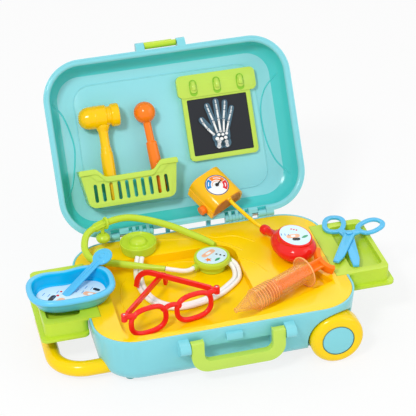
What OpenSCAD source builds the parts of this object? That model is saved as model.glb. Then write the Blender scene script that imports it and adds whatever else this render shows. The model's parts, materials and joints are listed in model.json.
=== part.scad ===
// Toy doctor case: a wheeled case standing open, with its instruments laid out on the deck and the side trays.
// Case frame: x to the right, y to the back, z up from the base's bottom. The whole case leans on wheels and feet.

/* [Case] */
// Length of the case at its rim
case_l = 360; // [350:1:380]
// Depth of the case at its rim, front to back
case_w = 254; // [250:1:270]
// Corner radius of the rim
corner_r = 57; // [52:1:60]
// Height of the base from its bottom to its rim
base_h = 72; // [70:1:80]
// Depth of the lid
lid_h = 42; // [41:1:50]
// Radius of the base's bottom edge
base_edge_r = 24; // [20:1:26]
// Radius of the lid's outer edge
lid_edge_r = 32; // [26:1:33]
// Lean of the side walls
wall_lean = 6.3; // [5:0.1:7]
// Thickness of the moulded walls
wall = 2.6; // [2.2:0.1:3]
// Radius of the bead round the lid's mouth
bead_r = 4.5; // [3.5:0.1:5]
// Height of the raised panel on the lid's floor
panel_t = 0.8; // [0.5:0.1:1.2]
// Width of the ledge that the deck lies on
ledge_w = 3; // [2.4:0.1:3.4]

/* [Deck] */
// Thickness of the deck
deck_t = 2.5; // [2:0.1:3]
// Length of the big well
well_l = 190; // [186:1:192]
// Width of the big well
well_w = 184; // [180:1:186]
// Corner radius of the big well
well_r = 26; // [22:1:27]
// Depth of the big well
well_depth = 14; // [13.5:0.1:15]
// Depth of the syringe trough
trough_depth = 9; // [8.8:0.1:9.6]

/* [Hinge] */
// Radius of the hinge knuckles
knuckle_r = 5; // [4.4:0.1:5.2]
// Radius of the hinge pins
hinge_pin_r = 2; // [1.6:0.1:2.4]
// Opening angle of the lid
lid_open = 119.25; // [110:0.25:122]
// Length of a narrow knuckle
knuckle_l = 4.4; // [4:0.1:4.6]

/* [Wheels] */
// Radius of the wheels
wheel_r = 36.9; // [35:0.1:38]
// Width of the wheels
wheel_w = 27.5; // [25:0.5:28]
// Radius of the hubcaps
hubcap_r = 21.6; // [19:0.1:23]
// Radius of the axle
axle_r = 4; // [3:0.1:5]
// Radius of the wheel arches
arch_r = 40; // [39.6:0.1:41]
// Height of the feet
foot_h = 3; // [2:0.5:5]
// Radius of the feet
foot_r = 7; // [5:0.5:8]

/* [Trolley handle] */
// Radius of the trolley handle's tube
tube_r = 10.5; // [9:0.1:11]
// Half the distance between its legs
leg_y = 86; // [84:0.5:86]
// Radius of its corners, along the tube's middle
handle_corner_r = 42; // [30:1:50]
// How far its end bar stands out from the case's end
handle_out = 52; // [50:1:70]
// How far the legs reach inside, past the case's middle
leg_in = 70; // [60:1:72]
// Length of the guides
guide_l = 100; // [80:1:104]

/* [Carry handle] */
// Length of the carry handle
carry_l = 127; // [120:1:134]
// Width of its arms
carry_arm = 17; // [14:0.5:18]
// Height of its grip bar
carry_bar = 16; // [12:0.5:18]
// Thickness of the carry handle
carry_t = 10; // [8:0.5:11]
// Radius of its pivots
pivot_r = 3; // [2:0.1:3.6]

/* [Side trays] */
// Length of a tray's top along the case's end
tray_w = 134; // [125:1:136]
// Reach of a tray's top past the case's end
tray_out = 60; // [55:1:66]
// Height of a tray
tray_h = 25; // [22:1:28]
// Thickness of a tray's walls
tray_wall = 2.5; // [2:0.1:3]
// How far the flare at a tray's foot stands out
tray_flare = 6; // [4:0.5:8]
// Depth of a tray's well
tray_well = 9; // [6:0.5:12]

/* [Lid fittings] */
// Length of the basket
basket_l = 142; // [130:1:146]
// Height of the basket
basket_h = 55; // [50:1:60]
// Wall of the basket
basket_wall = 2.2; // [1.8:0.1:2.6]
// Number of slots in the basket's front
slots = 10; // [6:1:12]
// Width of a slot
slot_w = 5; // [3:0.5:6]
// Width of the picture frame
frame_l = 102; // [98:1:108]
// Height of the picture frame
frame_h = 125; // [120:1:130]
// Thickness of the picture frame
frame_t = 7; // [5:0.5:8]
// Thickness of the film
film_t = 0.6; // [0.4:0.1:1]

/* [Hammer and ball] */
// Radius of the hammer's head
hammer_r = 16.6; // [14:0.1:17]
// Length of the hammer's head
hammer_l = 59; // [50:1:62]
// Radius of the tool grips
grip_r = 9.3; // [8:0.1:10]
// Radius of the ball
ball_r = 15.7; // [13:0.1:16.5]

/* [Pressure cuff] */
// Width of the cuff
cuff_l = 55; // [50:1:56]
// Length of the cuff along its tunnel
cuff_w = 52; // [48:1:53]
// Height of the cuff
cuff_h = 31; // [28:1:32]
// Wall of the cuff
cuff_wall = 3; // [2.4:0.1:4]
// Radius of the dial
dial_r = 17; // [14:0.5:18]
// Radius of the air tube
air_r = 3.2; // [2.6:0.1:3.6]
// Width of the bulb
bulb_w = 57; // [50:1:60]
// Height of the bulb
bulb_h = 34; // [30:1:36]

/* [Syringe] */
// Outer radius of the barrel
barrel_r = 15; // [13:0.1:15.4]
// Wall of the barrel
barrel_wall = 1.8; // [1.4:0.1:2.2]
// Length of the barrel from tip to flange
barrel_l = 123; // [115:1:126]
// Length of the cone
cone_l = 33; // [28:1:36]
// Radius of the flange
flange_r = 22; // [19:0.5:22.5]
// Running gap round the piston
piston_gap = 0.08; // [0.02:0.01:0.1]

/* [Stethoscope] */
// Radius of the headset's tube
headset_r = 4.5; // [4:0.1:5]
// Radius of the white tubes
hose_r = 3.2; // [2.6:0.1:3.3]
// Radius of the chest disc
disc_r = 25; // [22:0.5:26]
// Thickness of the chest disc
disc_t = 12; // [9:0.5:13]
// Radius of the chest cup
cup_r = 26; // [22:0.5:27]
// Height of the chest cup
cup_h = 15; // [12:0.5:18]

/* [Glasses] */
// Width of the glasses between their hinges
glasses_w = 134; // [128:1:136]
// Height of the rims
rim_h = 44; // [38:1:46]
// Width of the bars of a rim
rim_bar = 6.5; // [5:0.5:8]
// Thickness of the glasses' front
front_t = 6; // [4:0.5:7]
// Height of a temple
temple_h = 7.5; // [6:0.5:8]

/* [Dish, spoon and scissors] */
// Length of the dish
dish_l = 118; // [105:1:120]
// Width of the dish
dish_w = 86; // [76:1:88]
// Height of the dish
dish_h = 24; // [20:1:26]
// Wall of the dish
dish_wall = 2.4; // [2:0.1:3]
// Length of the spoon
spoon_l = 92; // [84:1:94]
// Thickness of the spoon
spoon_t = 3; // [2.4:0.1:3.4]
// Thickness of each half of the scissors
blade_t = 3.6; // [3:0.1:4]
// Width of a finger ring's bar
ring_bar = 7; // [5:0.5:8]

/* [Fits] */
// Gap round a pin that turns
run_gap = 0.06; // [0.02:0.01:0.1]
// Gap between parts that pass each other
gap = 0.4; // [0.3:0.05:0.5]
// Gap between a part and what it lies on
seat = 0.2; // [0.1:0.05:0.3]

/* [Hidden] */

aqua = [0.56, 0.84, 0.86];
teal = [0.30, 0.76, 0.76];
yellow = [1, 0.85, 0];
lime = [0.76, 0.86, 0.27];
red = [0.93, 0.18, 0.16];
orange = [1, 0.55, 0.14];
blue = [0.43, 0.80, 0.96];
paper = [0.86, 0.93, 0.97];
steel = [0.75, 0.76, 0.78];

rim = base_h;
wheel_x = case_l / 2 - 38.5;
wheel_z = wheel_r - 15.9;
foot_x = -case_l / 2 + 43;
foot_y = 94;
// The floor touches both wheels and both feet, which gives the lean of the case
foot_to_wheel = [wheel_x - foot_x, wheel_z + foot_h];
tilt = asin(wheel_r / norm(foot_to_wheel)) - atan2(foot_to_wheel.y, foot_to_wheel.x);
lift = -foot_x * sin(tilt) + foot_h * cos(tilt);

// Middle of all that stands there, seen from above
middle = [3.2, 76.3];

hinge_y = case_w / 2 + 2;
hinge_z = rim + knuckle_r;
lid_gap = 0.3;
lid_floor = wall - lid_h;
panel_z = lid_floor + panel_t;
leg_z = 2.6 + tube_r + 3;
leg_far = leg_in;
guide_x0 = -case_l / 2 + 40;
collar_r = tube_r + 1.8;
collar_l = 7;
arch_y = case_w / 2 - 25.5;
wheel_y = arch_y + 1;
pocket = [-44, 8, 94, 38];
carry_x = 2;
carry_y = -case_w / 2 - 9;
carry_z = rim - 17;
tray_tongue = 3;
tray_y = 14;
tongue_l = 16;
well_c = [-48, -20];
latch_u = case_w + 6;
latch_z = -14;
latch_l = 34;
latch_x = -1;
catch_z = rim - 13;
posts = [[-case_l / 2 + 22, -66], [-128, 106], [90, 106], [90, -106]];
post_top = rim - 17;

// Points on an arc about c, from angle a0 to a1
function arc(c, r, a0, a1, n = 8) = [
  for (i = [0:n]) let (a = a0 + (a1 - a0) * i / n) [c.x + r * cos(a), c.y + r * sin(a)]
];
function unit(v) = v / norm(v);
// Reach of a leaning wall at height z, for a pan of rim reach r and height h
function wall_reach(z, r, h) = r - (h - z) * tan(wall_lean);
function edge_c(r, h, f) = wall_reach(f - f * sin(wall_lean), r, h) - f * cos(wall_lean);
// Section of a solid pan from its middle out: floor, round edge of radius f, leaning wall
function pan_outline(r, h, f) = concat(
  [[0, 0]], arc([edge_c(r, h, f), f], f, -90, -wall_lean), [[r, h], [0, h]]);
wall_in = wall / cos(wall_lean);
function pan_inner(r, h, f) = concat(
  [for (p = arc([edge_c(r, h, f), f], f - wall, -wall_lean, -90)) p], [[0, wall]]);
// Section of a pan's wall, with a ledge for the deck where ledge is above zero
function pan_section(r, h, f, ledge) = let (z = h - deck_t) concat(
  [[0, 0]], arc([edge_c(r, h, f), f], f, -90, -wall_lean), [[r, h], [r - wall_in, h]],
  ledge > 0 ? [[wall_reach(z, r, h) - wall_in, z], [wall_reach(z, r, h) - wall_in - ledge, z],
    [wall_reach(z - ledge, r, h) - wall_in, z - ledge - 1]] : [],
  pan_inner(r, h, f));

// Stands the case on its wheels and feet, over the middle of the whole set
module stand() {
  translate([-middle.x, -middle.y, lift]) rotate([0, -tilt, 0]) children();
}
// Places on the open lid: x, u up from the hinge edge, z out of the lid's mouth
module on_lid() {
  stand() translate([0, hinge_y, hinge_z]) rotate([-lid_open, 0, 0])
    translate([0, case_w / 2 - hinge_y, rim + lid_gap - hinge_z]) rotate([180, 0, 0]) children();
}
// Places above the deck: heights count from the rim
module on_deck() {
  stand() translate([0, 0, rim]) children();
}
// Sweeps a wall section round a rectangle with corners of radius r
module swept(l, w, r) {
  for (i = [0:3]) {
    along = i % 2 == 0 ? w - 2 * r : l - 2 * r;
    out = i % 2 == 0 ? l / 2 - r : w / 2 - r;
    rotate([0, 0, 90 * i]) translate([out, 0, 0]) {
      rotate([90, 0, 0]) linear_extrude(along, center = true) children();
      translate([0, along / 2, 0]) rotate_extrude(angle = 90, $fn = 96) children();
    }
  }
}
module solid_pan(l, w, r, h, f) {
  swept(l, w, r) polygon(pan_outline(r, h, f));
  translate([r - l / 2, r - w / 2, 0]) cube([l - 2 * r, w - 2 * r, h]);
}
// Rounded rectangle, centred
module rrect(l, w, r) {
  square([l - 2 * r, w], center = true);
  square([l, w - 2 * r], center = true);
  for (x = [-1, 1], y = [-1, 1]) translate([x * (l / 2 - r), y * (w / 2 - r)]) circle(r, $fn = 64);
}
// Bar with round ends, centred
module capsule(l, w) {
  square([l - w, w], center = true);
  for (s = [-1, 1]) translate([s * (l - w) / 2, 0]) circle(w / 2, $fn = 64);
}
module block(l, w, r, h) {
  linear_extrude(h) rrect(l, w, r);
}
// Box between two corners
module box(a, b) {
  translate([min(a.x, b.x), min(a.y, b.y), min(a.z, b.z)])
    cube([abs(b.x - a.x), abs(b.y - a.y), abs(b.z - a.z)]);
}
module rod_x(x0, x1, r) {
  translate([x0, 0, 0]) rotate([0, 90, 0]) cylinder(h = x1 - x0, r = r, $fn = 48);
}
module rod_y(y0, y1, r) {
  translate([0, y1, 0]) rotate([90, 0, 0]) cylinder(h = y1 - y0, r = r, $fn = 64);
}
// Solid through rings of equally many points
module skin(rings) {
  n = len(rings[0]);
  m = len(rings);
  polyhedron(
    points = [for (ring = rings) each ring],
    faces = concat(
      [[for (j = [n - 1:-1:0]) j]],
      [for (i = [0:m - 2], j = [0:n - 1]) let (k = (j + 1) % n)
        each [[i * n + j, i * n + k, (i + 1) * n + k], [i * n + j, (i + 1) * n + k, (i + 1) * n + j]]],
      [[for (j = [0:n - 1]) (m - 1) * n + j]]),
    convexity = 6);
}
// Ring of points of radius r about p, square to the direction t
function tube_ring(p, t, r, n) = let (s = unit(cross(t, [0, 0, 1])), w = cross(s, t)) [
  for (j = [0:n - 1]) p + r * (cos(360 * j / n) * s + sin(360 * j / n) * w)
];
// Tube along a route
function tube_rings(route, r, n) = [
  for (i = [0:len(route) - 1]) let (
    a = route[max(i - 1, 0)], b = route[min(i + 1, len(route) - 1)])
    tube_ring(route[i], unit(b - a), r, n)
];
// Bar of even width along a flat line of points
function offset_side(line, w, s) = [
  for (i = [0:len(line) - 1]) let (
    a = line[max(i - 1, 0)], b = line[min(i + 1, len(line) - 1)], t = unit(b - a))
    line[i] + s * w * [-t.y, t.x]
];
module ribbon(line, w) {
  back = offset_side(line, w, -1);
  polygon(concat(offset_side(line, w, 1), [for (i = [len(back) - 1:-1:0]) back[i]]));
}

// Where the wheels stand in their arches: a liner behind each wheel
module arch_liners() {
  for (s = [-1, 1]) flip_y(s) translate([wheel_x, 0, wheel_z])
    rod_y(arch_y - 2, case_w / 2, arch_r + wall);
}
// Mirrors front to back for s = -1
module flip_y(s) {
  if (s > 0) children(); else mirror([0, 1, 0]) children();
}
module flip_x(s) {
  if (s > 0) children(); else mirror([1, 0, 0]) children();
}
// Starts of the narrow base knuckles, then the wide pair at the outside
knuckle_x = 53;
knuckle_pitch = 10;
narrow = 4;
wide_x = knuckle_x + narrow * knuckle_pitch + knuckle_pitch - 1;
wide_l = 12;
module base_knuckle_spans(grow = 0) {
  for (i = [0:narrow - 1]) knuckle_span(knuckle_x + i * knuckle_pitch, knuckle_pitch - knuckle_l - 2 * gap, grow)
    children();
  knuckle_span(wide_x, wide_l, grow) children();
}
module knuckle_span(x, l, grow) {
  translate([x - grow, 0, 0]) scale_span(l + 2 * grow) children();
}
module scale_span(l) {
  $span = l;
  children();
}
module hinge_bore(r) {
  translate([0, hinge_y, hinge_z]) rod_x(-case_l / 2, case_l / 2, r);
}

module base_shell() {
  color(aqua) stand() difference() {
    union() {
      swept(case_l, case_w, corner_r)
        polygon(pan_section(corner_r, base_h, base_edge_r, ledge_w));
      translate([corner_r - case_l / 2, corner_r - case_w / 2, 0])
        cube([case_l - 2 * corner_r, case_w - 2 * corner_r, wall]);
      intersection() {
        union() {
          arch_liners();
          box([pocket.x - wall, -case_w / 2, pocket.y - wall],
            [pocket.x + pocket[2] + wall, 16.6 - case_w / 2, pocket.y + pocket[3] + wall]);
        }
        solid_pan(case_l, case_w, corner_r, base_h, base_edge_r);
      }
      for (p = posts) translate([p.x, p.y, 4.5]) cylinder(h = post_top - 4.5, r = 5, $fn = 40);
      hinge_lugs();
      lid_stops();
      carry_ears();
      box([latch_x - 11, -case_w / 2 + 1, catch_z - 5], [latch_x + 11, -case_w / 2 - 4, catch_z + 5]);
      axle_bosses();
    }
    for (s = [-1, 1]) flip_y(s) {
      translate([wheel_x, 0, wheel_z]) rod_y(arch_y, case_w, arch_r);
      translate([-case_l / 2, leg_y, leg_z]) rod_x(-20, 45, tube_r + gap);
    }
    translate([wheel_x, 0, wheel_z]) rod_y(-case_w, case_w, axle_r + run_gap);
    box([pocket.x, -case_w, pocket.y], [pocket.x + pocket[2], 14 - case_w / 2, pocket.y + pocket[3]]);
    for (s = [-1, 1]) flip_x(s) tray_notch();
    hinge_bore(hinge_pin_r + run_gap);
    translate([carry_x, carry_y, carry_z]) rod_x(-carry_l / 2 - 12, carry_l / 2 + 12, pivot_r + run_gap);
    for (p = posts) translate([p.x, p.y, -1]) {
      cylinder(h = 39, r = 3.6, $fn = 40);
      cylinder(h = rim, r = 1.7, $fn = 32);
    }
    translate([latch_x - 12, -case_w / 2 - 6, catch_z - 5.2]) rotate([45, 0, 0]) cube([24, 2.4, 2.4]);
  }
}
// Notch in the end wall and its ledge, for a tray's tongue and hook
module tray_notch() {
  y0 = tray_y - tray_w / 2 - gap;
  y1 = tray_y + tray_w / 2 + gap;
  box([case_l / 2 - 10, y0, rim - tray_tongue - seat], [case_l / 2 + 5, y1, rim + 5]);
  box([case_l / 2 - 12, y0, rim - 12], [wall_reach(rim - 12, case_l / 2, rim) - wall_in, y1, rim + 5]);
}
module axle_bosses() {
  for (s = [-1, 1]) flip_y(s) translate([wheel_x, 0, wheel_z]) rod_y(arch_y - 8, arch_y, axle_r + 4);
}
// Lugs that carry the base's knuckles, outside the back wall
module hinge_lugs() {
  for (s = [-1, 1]) flip_x(s) base_knuckle_spans() {
    translate([0, hinge_y, hinge_z]) rod_x(0, $span, knuckle_r);
    rotate([90, 0, 90]) linear_extrude($span) polygon([
      [case_w / 2 - wall, rim - 0.2], [case_w / 2 - wall, rim - 22], [hinge_y + 1, rim - 12],
      [hinge_y + knuckle_r - 0.6, hinge_z - 1.6], [hinge_y, hinge_z], [case_w / 2 - 2, rim - 0.2]]);
  }
}
// Slope of the lid's back wall at rest, and ribs that stop it there
rest_slope = lid_open - 90 - wall_lean;
rest_edge = [hinge_y - 2 * cos(lid_open) - (knuckle_r - lid_gap) * sin(lid_open),
  hinge_z + 2 * sin(lid_open) - (knuckle_r - lid_gap) * cos(lid_open)];
module lid_stops() {
  reach = 14;
  near = 8;
  x = 30;
  drop = tan(rest_slope);
  for (s = [-1, 1]) translate([s * x - 3, 0, 0]) rotate([90, 0, 90]) linear_extrude(6) polygon([
    [case_w / 2 - wall, rim - 24], [case_w / 2 + reach, rim - 6],
    [case_w / 2 + reach, rest_edge.y - (case_w / 2 + reach - rest_edge.x) * drop - 0.35],
    [case_w / 2 + near, rest_edge.y - (case_w / 2 + near - rest_edge.x) * drop - 0.35],
    [case_w / 2 + near, rim - 6], [case_w / 2 - wall, rim - 2]]);
}
module carry_ears() {
  for (s = [-1, 1]) scale_ear(s) translate([carry_l / 2 + 1, 0, 0])
    rotate([90, 0, 90]) linear_extrude(14) {
      translate([carry_y, carry_z]) circle(8, $fn = 48);
      polygon([[carry_y, carry_z + 8], [carry_y - 8, carry_z], [carry_y - 5.6, carry_z - 5.6],
        [-case_w / 2 + 5.4, carry_z - 20], [-case_w / 2 + 1.6, carry_z + 9]]);
    }
}
module scale_ear(s) {
  translate([carry_x, 0, 0]) flip_x(s) children();
}

// Outline of the syringe trough, grown by e
function trough(e) = [[-6 - e, -9 - e], [25, -17.5 - e], [118, -26 - e], [150 + e, -26 - e],
  [150 + e, 26 + e], [118, 26 + e], [25, 17.5 + e], [-6 - e, 9 + e]];
syr_tip = [8, -100];
syr_turn = 24.5;
module at_syringe() {
  translate([syr_tip.x, syr_tip.y, 0]) rotate([0, 0, syr_turn]) children();
}
deck_fit = wall_in + seat;
module deck() {
  top = wall_reach(base_h - deck_t, corner_r, base_h) - deck_fit;
  inset = corner_r - top;
  color(yellow) on_deck() difference() {
    union() {
      translate([0, 0, -deck_t]) block(case_l - 2 * inset, case_w - 2 * inset, corner_r - inset, deck_t);
      translate([well_c.x, well_c.y, -well_depth - deck_t])
        block(well_l + 2 * deck_t, well_w + 2 * deck_t, well_r + deck_t, well_depth + deck_t);
      at_syringe() translate([0, 0, -trough_depth - deck_t])
        linear_extrude(trough_depth + deck_t) polygon(trough(deck_t));
      for (p = posts) translate([p.x, p.y, post_top - rim + seat])
        cylinder(h = rim - post_top - seat - 1, r = 4.4, $fn = 40);
    }
    translate([well_c.x, well_c.y, -well_depth]) block(well_l, well_w, well_r, well_depth + 1);
    at_syringe() translate([0, 0, -trough_depth]) linear_extrude(trough_depth + 1) polygon(trough(0));
    for (s = [-1, 1]) flip_x(s) box(
      [case_l / 2 - tongue_l - gap, tray_y - tray_w / 2 - gap, -deck_t - 1],
      [case_l / 2 + 1, tray_y + tray_w / 2 + gap, 1]);
    for (p = posts) translate([p.x, p.y, -30]) cylinder(h = 27, r = 1.5, $fn = 32);
  }
}
module deck_screws() {
  color(steel) stand() for (p = posts) translate([p.x, p.y, 34.8]) {
    cylinder(h = 3, r = 3.2, $fn = 32);
    cylinder(h = rim - 7 - 34.8, r = 1.48, $fn = 32);
  }
}
module handle_guides() {
  color(teal) stand() for (s = [-1, 1]) flip_y(s) difference() {
    box([guide_x0, leg_y - tube_r - 3, wall + seat], [guide_x0 + guide_l, leg_y + tube_r + 2.4, leg_z + tube_r + 3]);
    translate([0, leg_y, leg_z]) rod_x(-case_l, case_l, tube_r + piston_gap);
  }
}
// Tube of the trolley handle: two legs and a bar across their outer ends
module trolley_handle() {
  bar_x = -case_l / 2 - handle_out;
  c = handle_corner_r;
  color(yellow) stand() translate([0, 0, leg_z]) {
    for (s = [-1, 1]) flip_y(s) {
      translate([0, leg_y, 0]) rod_x(bar_x + c, leg_far, tube_r);
      translate([bar_x + c, leg_y - c, 0]) rotate([0, 0, 90]) rotate_extrude(angle = 90, $fn = 96)
        translate([c, 0]) circle(tube_r, $fn = 48);
    }
    translate([bar_x, 0, 0]) rod_y(c - leg_y, leg_y - c, tube_r);
  }
}
module leg_collars() {
  color(teal) stand() for (s = [-1, 1]) flip_y(s) translate([0, leg_y, leg_z]) difference() {
    rod_x(leg_far - collar_l - 1, leg_far - 1, collar_r);
    rod_x(-case_l, case_l, tube_r + run_gap);
  }
}
module axle() {
  color(steel) stand() translate([wheel_x, 0, wheel_z])
    rod_y(-wheel_y - wheel_w + 3, wheel_y + wheel_w - 3, axle_r);
}
module axle_nuts() {
  color(steel) stand() for (s = [-1, 1]) flip_y(s) translate([wheel_x, 0, wheel_z]) difference() {
    rod_y(wheel_y + wheel_w - 5.5, wheel_y + wheel_w - 3.6, axle_r + 3);
    rod_y(0, case_w, axle_r + run_gap / 2);
  }
}
module feet() {
  color([0.3, 0.62, 0.6]) difference() {
    stand() for (s = [-1, 1]) translate([foot_x, s * foot_y, -foot_h - 2]) cylinder(h = foot_h + 2, r = foot_r, $fn = 48);
    box([-case_l, -case_w, -20], [case_l, case_w, 0]);
  }
}
module lid_pins() {
  color(steel) stand() for (s = [-1, 1]) flip_x(s) translate([0, hinge_y, hinge_z])
    rod_x(knuckle_x - 1, wide_x + wide_l + 9, hinge_pin_r);
}

// Wheel about its axle: section from the axle out, with the hubcap's seat on the outer side
module wheel(s) {
  shoulder = 9;
  inner_shoulder = 4;
  w = wheel_w;
  color(yellow) stand() flip_y(s) translate([wheel_x, wheel_y, wheel_z]) rotate([-90, 0, 0])
    rotate_extrude($fn = 96) {
      polygon(concat([[hubcap_r + run_gap, w], [hubcap_r + run_gap, 3], [hubcap_r + 3, 0]],
        arc([wheel_r - inner_shoulder, inner_shoulder], inner_shoulder, -90, 0, 4),
        arc([wheel_r - shoulder, w - shoulder], shoulder, 0, 90, 8)));
      translate([axle_r + 6, w / 2 - 2]) square([hubcap_r - axle_r - 4, 4]);
      translate([axle_r + run_gap, 0.6]) square([6.5, w - 6.6]);
    }
}
module hubcap(s) {
  color(aqua) stand() flip_y(s) translate([wheel_x, wheel_y + wheel_w - 2.6, wheel_z]) rotate([-90, 0, 0])
    rotate_extrude($fn = 96)
      polygon([[0, 0], [hubcap_r, 0], [hubcap_r, 1.8], [hubcap_r - 0.8, 2.6], [0, 2.6]]);
}
module wheel_front() { wheel(-1); }
module wheel_back() { wheel(1); }
module hubcap_front() { hubcap(-1); }
module hubcap_back() { hubcap(1); }

module lid_shell() {
  color(aqua) difference() {
    union() {
      on_lid() {
        translate([0, case_w / 2, -lid_h]) {
          swept(case_l, case_w, corner_r) {
            polygon(pan_section(corner_r, lid_h, lid_edge_r, 0));
            translate([corner_r - bead_r, lid_h - bead_r]) circle(bead_r, $fn = 24);
          }
          translate([corner_r - case_l / 2, corner_r - case_w / 2, 0])
            cube([case_l - 2 * corner_r, case_w - 2 * corner_r, wall]);
        }
        translate([0, case_w / 2, lid_floor - 0.5]) block(268, case_w - 74, 26, panel_t + 0.5);
        latch_ears();
      }
      lid_frame() for (s = [-1, 1]) flip_x(s) {
        for (i = [0:narrow - 1])
          translate([knuckle_x + (i + 1) * knuckle_pitch - knuckle_l - gap, hinge_y, hinge_z])
            rod_x(0, knuckle_l, knuckle_r);
        translate([wide_x + wide_l + gap, hinge_y, hinge_z]) rod_x(0, 11, knuckle_r);
      }
    }
    lid_frame() {
      for (s = [-1, 1]) flip_x(s) base_knuckle_spans(gap)
        translate([0, hinge_y - knuckle_r - 5, hinge_z - knuckle_r - 1])
          cube([$span, 2 * knuckle_r + 6, 2 * knuckle_r + 1.6]);
      hinge_bore(hinge_pin_r + run_gap);
    }
  }
}
// Frame of the closed lid turned open about its hinge
module lid_frame() {
  stand() translate([0, hinge_y, hinge_z]) rotate([-lid_open, 0, 0]) translate([0, -hinge_y, -hinge_z])
    children();
}
latch_arm = 23;
module latch_ears() {
  for (s = [-1, 1]) translate([latch_x, 0, 0]) flip_x(s) difference() {
    translate([latch_arm + 1, 0, 0]) rotate([90, 0, 90]) linear_extrude(12) polygon(concat(
      [[case_w - wall, -4], [case_w - wall - 2, -24]], arc([latch_u, latch_z], 6, -50, 70, 8)));
    translate([0, latch_u, latch_z]) rod_x(0, 32, 2 + run_gap);
  }
}
module latch_pin() {
  color(lime) on_lid() translate([latch_x, latch_u, latch_z]) rod_x(-31, 31, 2);
}
// Flap of the latch, folded back over the lid: its hook end points away from the lid's mouth
module latch_flap() {
  color(lime) on_lid() translate([latch_x - latch_arm, latch_u, latch_z]) difference() {
    union() {
      rod_x(0, 2 * latch_arm, 4.4);
      rotate([90, 0, 90]) linear_extrude(2 * latch_arm) polygon([[-0.6, -2.4], [2.4, -2.4], [2.4, -latch_l + 6],
        [7.4, -latch_l + 5], [7.4, -latch_l + 2], [3, -latch_l], [-0.6, -latch_l]]);
    }
    rod_x(-1, 2 * latch_arm + 1, 2 + run_gap);
  }
}

// Outline of the basket's front, drawn in by t
basket_x = -145 + basket_l / 2;
basket_u = 42;
function basket_line(t, top) = let (h = basket_l / 2 - t, r = 12 - t) concat(
  [[-h, top], [-h + 24 + t, top], [-h + 36 + t, top > basket_h ? top : basket_h - 13],
    [h - 36 - t, top > basket_h ? top : basket_h - 13], [h - 24 - t, top], [h, top]],
  arc([h - 7 - r, t + r], r, 0, -90, 5), arc([7 + r - h, t + r], r, -90, -180, 5));
basket_front = -6;
module basket() {
  color(lime) on_lid() translate([basket_x, basket_u, 0]) difference() {
    union() {
      translate([0, 0, panel_z + seat / 2]) linear_extrude(basket_front - panel_z - seat / 2)
        polygon(basket_line(0, basket_h));
      translate([0, 0, basket_front]) linear_extrude(1.4) difference() {
        polygon(basket_line(0, basket_h));
        translate([0, -5]) polygon(basket_line(-6, basket_h));
      }
    }
    translate([0, 0, panel_z + seat / 2 + basket_wall])
      linear_extrude(basket_front - panel_z - 2 * basket_wall) polygon(basket_line(basket_wall, basket_h + 20));
    for (i = [0:slots - 1]) {
      x = (i - (slots - 1) / 2) * (basket_l - 28) / slots;
      translate([x, basket_h / 2 - 7, basket_front - 6]) linear_extrude(12) rotate(90) capsule(26, slot_w);
    }
  }
}
frame_x = 73;
frame_u = 86;
module picture_frame() {
  color(lime) on_lid() translate([frame_x, frame_u, panel_z + seat / 2]) difference() {
    union() {
      translate([0, frame_h / 2, 0]) block(frame_l, frame_h, 7, frame_t);
      translate([2.5, frame_h - 16.5, 0]) block(frame_l + 15, 33, 8, frame_t + 2);
      for (i = [-1:1]) translate([2.5 + i * 35, frame_h - 20, 0]) block(9, 14, 4, frame_t + 5);
    }
    translate([0, 48, frame_t - 2]) block(frame_l - 13, 82, 2, 10);
  }
}
module picture_film() {
  color([0.1, 0.11, 0.14]) on_lid() translate([frame_x, frame_u + 48, panel_z + seat / 2 + frame_t - 2])
    linear_extrude(film_t) square([frame_l - 13 - 2 * seat, 82 - 2 * seat], center = true);
}

carry_half = carry_l / 2;
module carry_handle() {
  reach = 38;
  color(lime) stand() translate([carry_x, carry_y, carry_z]) {
    rotate([90, 0, 0]) linear_extrude(carry_t, center = true) difference() {
      union() {
        translate([-carry_half, 24 - reach]) square([carry_l, reach - 16]);
        translate([24 - carry_half, -reach]) square([carry_l - 48, 24]);
        for (s = [-1, 1]) {
          translate([s * (carry_half - 24), 24 - reach]) circle(24, $fn = 80);
          translate([s * (carry_half - carry_arm / 2), 0]) square([carry_arm, 16], center = true);
        }
      }
      difference() {
        translate([carry_arm - carry_half, carry_bar - reach]) square([carry_l - 2 * carry_arm, reach + 10]);
        for (s = [-1, 1]) translate([s * (carry_half - carry_arm - 10), carry_bar - reach + 10]) difference() {
          translate([s > 0 ? 0 : -10, -10]) square([10, 10]);
          circle(10, $fn = 64);
        }
      }
    }
    for (s = [-1, 1]) flip_x(s) rod_x(carry_half - 2, carry_half + 11, pivot_r);
  }
}

module tray(s) {
  lip = 4;
  x0 = case_l / 2 + 0.6;
  x1 = case_l / 2 + tray_out;
  l = x1 - x0;
  color(lime) on_deck() flip_x(s) translate([0, tray_y, 0]) difference() {
    union() {
      translate([x0 + l / 2, 0, -tray_h]) block(l, tray_w, 9, tray_h);
      translate([x0 + (l + tray_flare) / 2, 0, -tray_h]) block(l + tray_flare, tray_w + 2 * tray_flare, 9, lip);
      box([case_l / 2 - tongue_l, -tray_w / 2, -tray_tongue], [x0 + 12, tray_w / 2, 0]);
      hook_x = wall_reach(rim - 12, case_l / 2, rim) - wall_in - gap;
      box([hook_x - 3, 20 - tray_w / 2, -11], [hook_x, tray_w / 2 - 20, -1]);
    }
    translate([x0 + l / 2 + 1, 0, -tray_well]) block(l - 14, tray_w - 24, 8, tray_h);
    difference() {
      translate([x0 + l / 2, 0, -tray_h - 1]) block(l - 2 * tray_wall, tray_w - 2 * tray_wall, 7, tray_h + 1 - tray_wall);
      translate([x0 + l / 2 + 1, 0, -tray_well - tray_wall]) block(l - 14 + 2 * tray_wall, tray_w - 24 + 2 * tray_wall, 10, tray_h);
    }
  }
}
module tray_left() { tray(-1); }
module tray_right() { tray(1); }

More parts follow.
